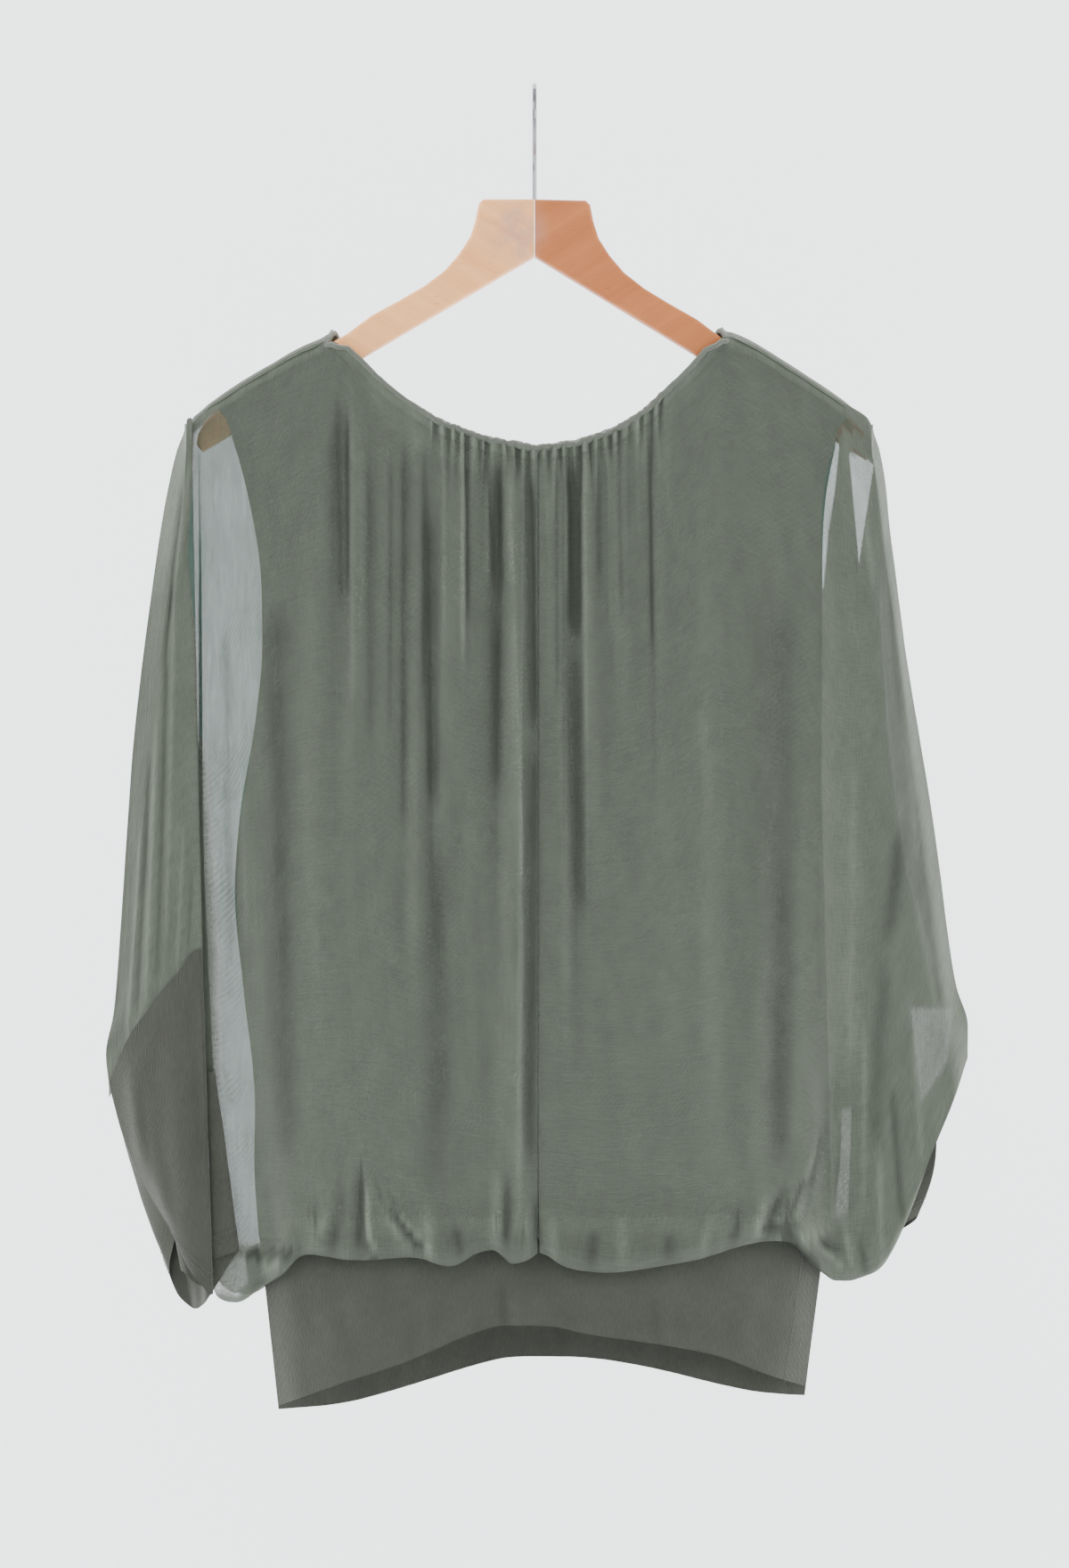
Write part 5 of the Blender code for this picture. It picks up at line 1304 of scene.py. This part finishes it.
def steel_material():
    """Polished steel wire with faint drawn lines and a little dulling."""
    material, tree, shader = new_material("polished steel", 0.2, Metallic=1.0)
    lines = noise(tree, stretched(tree, object_place(tree), (3000.0, 3000.0, 150.0)), 1.0, 2.0)
    drawn = blend(tree, lines, (0.20, 0.20, 0.21, 1.0), (0.34, 0.34, 0.35, 1.0))
    tree.links.new(drawn, shader.inputs["Base Color"])
    tree.links.new(ramp(tree, lines, 0.0, 1.0, 0.14, 0.3), shader.inputs["Roughness"])
    return material


def stage_material():
    """Pale matt studio paper, clear from behind so that it never hides the blouse."""
    material, tree, shader = new_material("studio paper", 0.95, Specular_IOR_Level=0.1)
    cloud = noise(tree, object_place(tree), 1.3, 2.0)
    paper = blend(tree, cloud, (0.90, 0.92, 0.935, 1.0), (0.93, 0.945, 0.955, 1.0))
    tree.links.new(paper, shader.inputs["Base Color"])
    behind = add(tree, "ShaderNodeNewGeometry").outputs["Backfacing"]
    tree.links.new(calc(tree, "SUBTRACT", 1.0, behind), shader.inputs["Alpha"])
    return material


MATERIALS = {}


def materials(sizes):
    """Every material of the scene, made once."""
    if MATERIALS:
        return MATERIALS
    groups = {"weave": weave_group(), "crinkle": crinkle_group(), "fold": fold_group(),
              "watered": watered_group(), "knit": knit_group(), "grain": grain_group()}
    sheer, jersey_thread = sizes.sheer_colour, [0.8 * part for part in sizes.jersey_colour]
    twist = (0.5, 0.2)      # roughness and sheen of sewing thread
    MATERIALS.update({
        "sheer": sheer_material("sheer chiffon", sizes, groups, 0.0, 0.0035),
        "sheer right": sheer_material("sheer chiffon across", sizes, groups, 1.45, 0.0030),
        "roll": mottled_material("rolled chiffon", 0.6, 0.12, sheer, 0.80, 1.15, 700.0, 3.0, 0.0004),
        "lining": lining_material(sizes, groups),
        "jersey": jersey_material(sizes, groups),
        "dark thread": mottled_material("dark thread", *twist, DARK_THREAD, 0.8, 1.25, 2500.0, 1.0, 0.0001),
        "jersey thread": mottled_material("jersey thread", *twist, jersey_thread, 0.8, 1.25, 2500.0, 1.0,
                                          0.0001),
        "left wood": wood_material("pale beech", *PALE_BEECH, -ARM_SLOPE, groups),
        "right wood": wood_material("redder beech", *RED_BEECH, ARM_SLOPE, groups),
        "steel": steel_material(),
        "stage": stage_material(),
    })
    return MATERIALS


def path_tree(name, sizes, material, result):
    """An empty geometry nodes tree that works along a path: the tree, its inputs and its output's socket."""
    tree = bpy.data.node_groups.new(name, "GeometryNodeTree")
    face = tree.interface
    face.new_socket("Path", in_out="INPUT", socket_type="NodeSocketGeometry")
    for label, value in sizes.items():
        face.new_socket(label, in_out="INPUT", socket_type="NodeSocketFloat").default_value = value
    face.new_socket(material, in_out="INPUT", socket_type="NodeSocketMaterial")
    face.new_socket(result, in_out="OUTPUT", socket_type="NodeSocketGeometry")
    start, end = tree.nodes.new("NodeGroupInput"), tree.nodes.new("NodeGroupOutput")
    return tree, start.outputs, end.inputs[result]


def stitch_tree():
    """Geometry nodes that set small stitches at an even pitch along a path."""
    sizes = {"Pitch": 0.0026, "Stitch length": 0.0019, "Thread thickness": 0.0004}
    tree, given, stitches = path_tree("stitch run", sizes, "Thread", "Stitches")
    curve = add(tree, "GeometryNodeMeshToCurve", in_Mesh=given["Path"])
    spaced = add(tree, "GeometryNodeResampleCurve", mode="LENGTH", in_Curve=curve.outputs[0],
                 in_Length=given["Pitch"])
    stitch = add(tree, "GeometryNodeMeshUVSphere", in_Segments=6, in_Rings=4, in_Radius=0.5)
    way = add(tree, "GeometryNodeInputTangent")
    turn = add(tree, "FunctionNodeAlignRotationToVector", axis="X", in_Vector=way.outputs[0])
    thick = given["Thread thickness"]
    size = add(tree, "ShaderNodeCombineXYZ", in_X=given["Stitch length"], in_Y=thick, in_Z=thick)
    placed = add(tree, "GeometryNodeInstanceOnPoints", in_Points=spaced.outputs[0],
                 in_Instance=stitch.outputs[0], in_Rotation=turn.outputs[0], in_Scale=size.outputs[0])
    real = add(tree, "GeometryNodeRealizeInstances", in_Geometry=placed.outputs[0])
    smooth = add(tree, "GeometryNodeSetShadeSmooth", in_Geometry=real.outputs[0])
    painted = add(tree, "GeometryNodeSetMaterial", in_Geometry=smooth.outputs[0], in_Material=given["Thread"])
    tree.links.new(painted.outputs[0], stitches)
    return tree


def casing_tree():
    """Geometry nodes that roll cloth round a path, ruffled where the path's ruffle attribute says so."""
    sizes = {"Radius": 0.0013, "Ruffle size": 0.004, "Ruffle height": 0.0012}
    tree, given, rolled = path_tree("ruffled roll", sizes, "Cloth", "Roll")
    curve = add(tree, "GeometryNodeMeshToCurve", in_Mesh=given["Path"])
    ring = add(tree, "GeometryNodeCurvePrimitiveCircle", in_Resolution=10, in_Radius=given["Radius"])
    roll = add(tree, "GeometryNodeCurveToMesh", in_Curve=curve.outputs[0], in_1=ring.outputs[0])
    place = add(tree, "GeometryNodeInputPosition").outputs[0]
    chance = noise(tree, place, calc(tree, "DIVIDE", 1.0, given["Ruffle size"]), 1.0)
    ruffle = add(tree, "GeometryNodeInputNamedAttribute", data_type="FLOAT", in_Name="ruffle")
    amount = calc(tree, "MULTIPLY", calc(tree, "SUBTRACT", chance, RUFFLE_MIDDLE), ruffle.outputs[0])
    height = calc(tree, "MULTIPLY", amount, given["Ruffle height"])
    facing = add(tree, "GeometryNodeInputNormal")
    offset = scaled(tree, facing.outputs[0], height)
    moved = add(tree, "GeometryNodeSetPosition", in_Geometry=roll.outputs[0], in_Offset=offset)
    smooth = add(tree, "GeometryNodeSetShadeSmooth", in_Geometry=moved.outputs[0])
    real = add(tree, "GeometryNodeRealizeInstances", in_Geometry=smooth.outputs[0])
    painted = add(tree, "GeometryNodeSetMaterial", in_Geometry=real.outputs[0], in_Material=given["Cloth"])
    tree.links.new(painted.outputs[0], rolled)
    return tree


def made_by_nodes(name, paths, tree, values, closed=False, ruffle=None):
    """A plain mesh from paths of points, run through a geometry nodes tree with its inputs set."""
    points, edges = [], []
    for path in paths:
        first = len(points)
        points += [tuple(point) for point in path]
        edges += [(first + k, first + k + 1) for k in range(len(path) - 1)]
        if closed:
            edges.append((len(points) - 1, first))
    data = bpy.data.meshes.new(name + " path")
    data.from_pydata(points, edges, [])
    if ruffle is not None:
        data.attributes.new("ruffle", "FLOAT", "POINT").data.foreach_set("value", ruffle.astype(np.float32))
    carrier = new_object(name + " path", data)
    maker = carrier.modifiers.new("maker", "NODES")
    maker.node_group = tree
    for item in tree.interface.items_tree:
        if item.in_out == "INPUT" and item.name in values:
            maker[item.identifier] = values[item.name]
    bpy.context.view_layer.update()
    done = bpy.data.meshes.new_from_object(carrier.evaluated_get(bpy.context.evaluated_depsgraph_get()))
    done.name = name
    bpy.data.objects.remove(carrier, do_unlink=True)
    return new_object(name, done)


def settle(item, slot, *nodes):
    """Fix a finished piece to the body and hide the solids it stands for."""
    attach(item, "root")
    if nodes:
        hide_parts(*nodes)
    return item


def hang(item, slot, node, points, *rests_on):
    """Keep a finished shell for its stitches and settle it."""
    SHELLS[node] = points
    settle(item, slot, node)


class BlouseSizes(bpy.types.PropertyGroup):
    """Sizes and colours of the blouse that a user may change."""
    step_across: FloatProperty(name="Step across", description="Distance between a shell's columns",
                               default=0.0008, min=0.0005, unit="LENGTH")
    step_down: FloatProperty(name="Step down", description="Distance between a shell's rows",
                             default=0.0048, min=0.001, unit="LENGTH")
    sheer_cover: FloatProperty(name="Sheer cover", description="Share of light that one sheer layer stops",
                               default=0.69, min=0.0, max=1.0, subtype="FACTOR")
    sheer_colour: FloatVectorProperty(name="Sheer colour", description="Colour of the sheer cloth's threads",
                                      default=(0.0755, 0.0865, 0.0665), subtype="COLOR")
    # Web colour: painted light, the sheer cloth's look with light shining through it
    web_colour: FloatVectorProperty(name="Web colour", description="Sheer cloth's colour against the light",
                                    default=(0.042, 0.078, 0.059), subtype="COLOR")
    lining_colour: FloatVectorProperty(name="Lining colour", description="Colour of the vest",
                                       default=(0.110, 0.128, 0.102), subtype="COLOR")
    jersey_colour: FloatVectorProperty(name="Jersey colour", description="Colour of the band and cuffs",
                                       default=(0.044, 0.047, 0.037), subtype="COLOR")


class StageSizes(bpy.types.PropertyGroup):
    """Sizes of the stage, its lights and the camera."""
    floor_height: FloatProperty(name="Floor height", description="Height of the floor", default=-1.55,
                                unit="LENGTH")
    wall_distance: FloatProperty(name="Wall distance", description="From the blouse to the backdrop",
                                 default=1.15, min=0.3, unit="LENGTH")
    lens: FloatProperty(name="Lens", description="Focal length of the camera in millimetres", default=83.5)
    key_power: FloatProperty(name="Key light", description="Power of the main light", default=46.0, min=0.0,
                             unit="POWER")
    fill_power: FloatProperty(name="Fill light", description="Power of the softer light", default=31.0,
                              min=0.0, unit="POWER")
    backdrop_power: FloatProperty(name="Backdrop light", description="Power of each light on the backdrop",
                                  default=86.0, min=0.0, unit="POWER")
    sky: FloatProperty(name="Room light", description="Strength of the even light all round", default=0.95,
                       min=0.0)


class BLOUSE_OT_sheer_cloth(bpy.types.Operator):
    """Make the sheer front halves and the sheer back, each in one with its sleeves"""
    bl_idname = "blouse.sheer_cloth"
    bl_label = "Sheer cloth"

    def execute(self, context):
        sizes = context.scene.blouse
        paints = materials(sizes)
        sides = (("front_left", -1, "sheer", 11), ("front_right", 1, "sheer right", 12))
        for node, side, paint, seed in sides:
            columns = front_panel(side)
            ends = np.where(columns[:, 0, 0] < SLEEVE_TONGUE[0], SLEEVE_TONGUE[1], 0.0)[:, None]
            plane = refine(longer(columns, overlap_at(columns), ends), sizes.step_across, sizes.step_down)
            points, relief = dressed_shell(plane, FRONT_CREASES + HEM_TUCKS + SLEEVE_CREASES, seed,
                                           extra=lambda x, z: gather_relief(x, z, 5))
            fold = shade_of(relief, plane[..., 0], plane[..., 2])
            item = cloth_object("sheer_" + node, points, fold, paints[paint],
                                layers=layers_at(plane[..., 0], plane[..., 2]))
            hang(item, "chiffon", node, points, "hanger_arm_left" if side < 0 else "hanger_arm_right")
        columns = back_panel()
        middle, half, length = BACK_TONGUE
        ends = np.where(np.abs(columns[:, 0, 0] - middle) < half, length, 0.0)[:, None]
        columns = longer(columns, overlap_at(columns), ends)
        plane = refine(columns, sizes.step_across * BACK_STEP, sizes.step_down)
        points, relief = dressed_shell(plane, BACK_CREASES, 13, extra=lambda x, z: gather_relief(x, z, 6))
        item = cloth_object("sheer_back", points, BACK_SHADE * shade_of(relief), paints["sheer"],
                            layers=np.minimum(layers_at(plane[..., 0], plane[..., 2]), BACK_LAYERS))
        hang(item, "chiffon", "back", points, "hanger_arm_left", "hanger_arm_right")
        return {"FINISHED"}


class BLOUSE_OT_neck_casing(bpy.types.Operator):
    """Roll the neck edge, gathered in the middle of the front"""
    bl_idname = "blouse.neck_casing"
    bl_label = "Neck casing"

    def execute(self, context):
        paints = materials(context.scene.blouse)
        plane = even_ring(np.array(casing_path()), ROLL_STEP)
        inside = window(plane[:, 0], *GATHER_SPAN, *RUFFLE_FADES)
        values = {"Cloth": paints["roll"], "Radius": ROLL_RADIUS, "Ruffle size": 0.0034,
                  "Ruffle height": 0.0042}
        item = made_by_nodes("neck_roll", [seen_true(plane)], casing_tree(), values, closed=True,
                             ruffle=RUFFLE_LEAST + (1 - RUFFLE_LEAST) * inside)
        settle(item, "chiffon", "neck_casing")
        return {"FINISHED"}


class BLOUSE_OT_vest(bpy.types.Operator):
    """Make the front and back of the opaque vest"""
    bl_idname = "blouse.vest"
    bl_label = "Vest"

    def execute(self, context):
        sizes = context.scene.blouse
        paints = materials(sizes)
        for node, facing in (("lining_front", -1), ("lining_back", 1)):
            plane = refine(vest_panel(facing), sizes.step_across * VEST_STEP, sizes.step_down)
            points, relief = dressed_shell(plane, VEST_CREASES, 20 + facing)
            item = cloth_object("vest_" + node[7:], points, shade_of(relief), paints["lining"])
            hang(item, "lining", node, points, "hanger_arm_left", "hanger_arm_right")
        return {"FINISHED"}


class BLOUSE_OT_hip_band(bpy.types.Operator):
    """Make the front and back of the jersey hip band"""
    bl_idname = "blouse.hip_band"
    bl_label = "Hip band"

    def execute(self, context):
        sizes = context.scene.blouse
        paints = materials(sizes)
        for node, facing in (("band_front", -1), ("band_back", 1)):
            columns = longer(band_panel(facing), start=BAND_OVERLAP)
            plane = refine(columns, sizes.step_across, sizes.step_down * BAND_STEP)
            points, relief = dressed_shell(plane, BAND_CREASES, 30 + facing, uneven=JERSEY_RIPPLES[0])
            item = cloth_object("hip_" + node, points, shade_of(relief), paints["jersey"])
            hang(item, "jersey", node, points, "vest_" + node[5:])
        return {"FINISHED"}


class BLOUSE_OT_cuffs(bpy.types.Operator):
    """Make the two jersey cuffs, each a tube laid flat"""
    bl_idname = "blouse.cuffs"
    bl_label = "Cuffs"

    def execute(self, context):
        sizes = context.scene.blouse
        paints = materials(sizes)
        for node, lines in (("cuff_left", LEFT_CUFF), ("cuff_right", RIGHT_CUFF)):
            tube = longer(cuff_tube(lines), start=CUFF_OVERLAP)
            ring = np.concatenate([tube, tube[:1]])
            plane = refine(ring, sizes.step_across, sizes.step_down * CUFF_STEP)[:-1]
            points, relief = dressed_shell(plane, CUFF_CREASES, 40, closed=True, uneven=JERSEY_RIPPLES[1])
            item = cloth_object("jersey_" + node, points, shade_of(relief), paints["jersey"], closed=True)
            hang(item, "jersey", node, points, "sheer_front_left" if node == "cuff_left" else "sheer_back")
        return {"FINISHED"}


class BLOUSE_OT_stitches(bpy.types.Operator):
    """Sew the seam down the front, the twin rows along the cuffs' hems and a row down the band's side seam"""
    bl_idname = "blouse.stitches"
    bl_label = "Stitches"

    def execute(self, context):
        paints = materials(context.scene.blouse)
        tree = stitch_tree()
        seam = SHELLS["front_right"][0]
        lowest, highest = CENTRE_STITCHES
        run = seam[(seam[:, 2] < highest) & (seam[:, 2] > lowest) & (seam[:, 1] < CENTRE_FACE)]
        values = {"Pitch": 0.0024, "Stitch length": 0.0017, "Thread thickness": 0.0004,
                  "Thread": paints["dark thread"]}
        sewn = made_by_nodes("centre_stitches", [run + CENTRE_SHIFT], tree, values)
        settle(sewn, "chiffon")
        for node in ("cuff_left", "cuff_right"):
            runs = [hem_line(SHELLS[node], up, STITCH_OUT, True) for up in HEM_ROWS]
            values = {"Pitch": 0.0027, "Stitch length": 0.0020, "Thread thickness": 0.00042,
                      "Thread": paints["jersey thread"]}
            sewn = made_by_nodes(node + "_stitches", runs, tree, values, closed=True)
            settle(sewn, "jersey")
        band = SHELLS["band_front"]
        runs = [band[np.argmin(np.abs(band[:, 0, 0] - x))] + (0.0, -STITCH_OUT, 0.0) for x in BAND_SEAMS]
        settle(made_by_nodes("band_side_stitches", runs, tree, values), "jersey")
        return {"FINISHED"}


class BLOUSE_OT_hanger(bpy.types.Operator):
    """Finish the hanger's wood and its wire hook"""
    bl_idname = "blouse.hanger"
    bl_label = "Hanger"

    def execute(self, context):
        paints = materials(context.scene.blouse)
        for node, paint in (("hanger_arm_left", "left wood"), ("hanger_arm_right", "right wood"),
                            ("hanger_hook", "steel")):
            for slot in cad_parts[node].material_slots:
                slot.material = paints[paint]
        return {"FINISHED"}


class BLOUSE_OT_stage(bpy.types.Operator):
    """Set the pale floor and backdrop, the soft lights and the camera"""
    bl_idname = "blouse.stage"
    bl_label = "Stage"

    def execute(self, context):
        stage = context.scene.blouse_stage
        paints = materials(context.scene.blouse)
        profile = [(SWEEP_FRONT, stage.floor_height)]
        for angle in np.linspace(0.0, math.pi / 2, SWEEP_TURNS):
            profile.append((stage.wall_distance - SWEEP_BEND + SWEEP_BEND * math.sin(angle),
                            stage.floor_height + SWEEP_BEND - SWEEP_BEND * math.cos(angle)))
        profile.append((stage.wall_distance, SWEEP_TOP))
        points = [(x, y, z) for y, z in profile for x in (-SWEEP_HALF, SWEEP_HALF)]
        faces = [(2 * k, 2 * k + 1, 2 * k + 3, 2 * k + 2) for k in range(len(profile) - 1)]
        data = bpy.data.meshes.new("studio_sweep")
        data.from_pydata(points, [], faces)
        data.shade_smooth()
        data.materials.append(paints["stage"])
        sweep = new_object("studio_sweep", data)
        wall, glow = stage.wall_distance, stage.backdrop_power
        lamps = (("key", (-1.5, -2.6, 0.9), 1.7, stage.key_power, (0.0, 0.0, -0.45)),
                 ("fill", (1.7, -2.4, 0.1), 1.9, stage.fill_power, (0.0, 0.0, -0.45)),
                 ("backdrop upper", (0.0, wall - 0.9, 2.1), 1.6, glow, (0.0, wall, 0.2)),
                 ("backdrop left", (-2.3, wall - 1.05, -0.5), 1.6, glow, (0.0, wall + 0.15, -0.5)),
                 ("backdrop right", (2.3, wall - 1.05, -0.5), 1.6, glow, (0.0, wall + 0.15, -0.5)))
        for name, place, size, power, target in lamps:
            lamp = bpy.data.lights.new(name, "AREA")
            lamp.shape = "DISK"
            lamp.size = size
            lamp.energy = power
            holder = new_object(name, lamp)
            holder.location = place
            holder.rotation_euler = (Vector(target) - Vector(place)).to_track_quat("-Z", "Y").to_euler()
        world = bpy.data.worlds.new("room")
        world.use_nodes = True
        room = world.node_tree.nodes["Background"]
        room.inputs[0].default_value = ROOM_COLOUR
        room.inputs[1].default_value = stage.sky
        context.scene.world = world
        camera = bpy.data.cameras.new("camera")
        camera.lens = stage.lens
        camera.sensor_width = SENSOR_WIDTH
        camera.clip_end = VIEW_END
        holder = new_object("camera", camera)
        holder.location = (0.0, -EYE_DISTANCE, EYE_HEIGHT)
        holder.rotation_euler = (math.pi / 2, 0.0, 0.0)
        context.scene.camera = holder
        return {"FINISHED"}


OPERATORS = (BLOUSE_OT_sheer_cloth, BLOUSE_OT_neck_casing, BLOUSE_OT_vest, BLOUSE_OT_hip_band,
             BLOUSE_OT_cuffs, BLOUSE_OT_stitches, BLOUSE_OT_hanger, BLOUSE_OT_stage)


class BLOUSE_PT_pieces(bpy.types.Panel):
    """Lists the blouse's sizes and the operators that make its pieces"""
    bl_idname = "BLOUSE_PT_pieces"
    bl_label = "Draped blouse"
    bl_space_type = "VIEW_3D"
    bl_region_type = "UI"
    bl_category = "Blouse"

    def draw(self, context):
        for group in (context.scene.blouse, context.scene.blouse_stage):
            for name in group.bl_rna.properties.keys():
                if name not in ("rna_type", "name"):
                    self.layout.prop(group, name)
        for operator in OPERATORS:
            self.layout.operator(operator.bl_idname)


CLASSES = (BlouseSizes, StageSizes, *OPERATORS, BLOUSE_PT_pieces)


def register():
    """Make the add-on's classes known to Blender."""
    for item in CLASSES:
        bpy.utils.register_class(item)
    bpy.types.Scene.blouse = PointerProperty(type=BlouseSizes)
    bpy.types.Scene.blouse_stage = PointerProperty(type=StageSizes)


def unregister():
    """Take the add-on's classes out again."""
    del bpy.types.Scene.blouse_stage
    del bpy.types.Scene.blouse
    for item in reversed(CLASSES):
        bpy.utils.unregister_class(item)


def main():
    """Make every piece in order."""
    register()
    bpy.ops.blouse.sheer_cloth()
    bpy.ops.blouse.neck_casing()
    bpy.ops.blouse.vest()
    bpy.ops.blouse.hip_band()
    bpy.ops.blouse.cuffs()
    bpy.ops.blouse.stitches()
    bpy.ops.blouse.hanger()
    bpy.ops.blouse.stage()


if __name__ == "__main__":
    main()
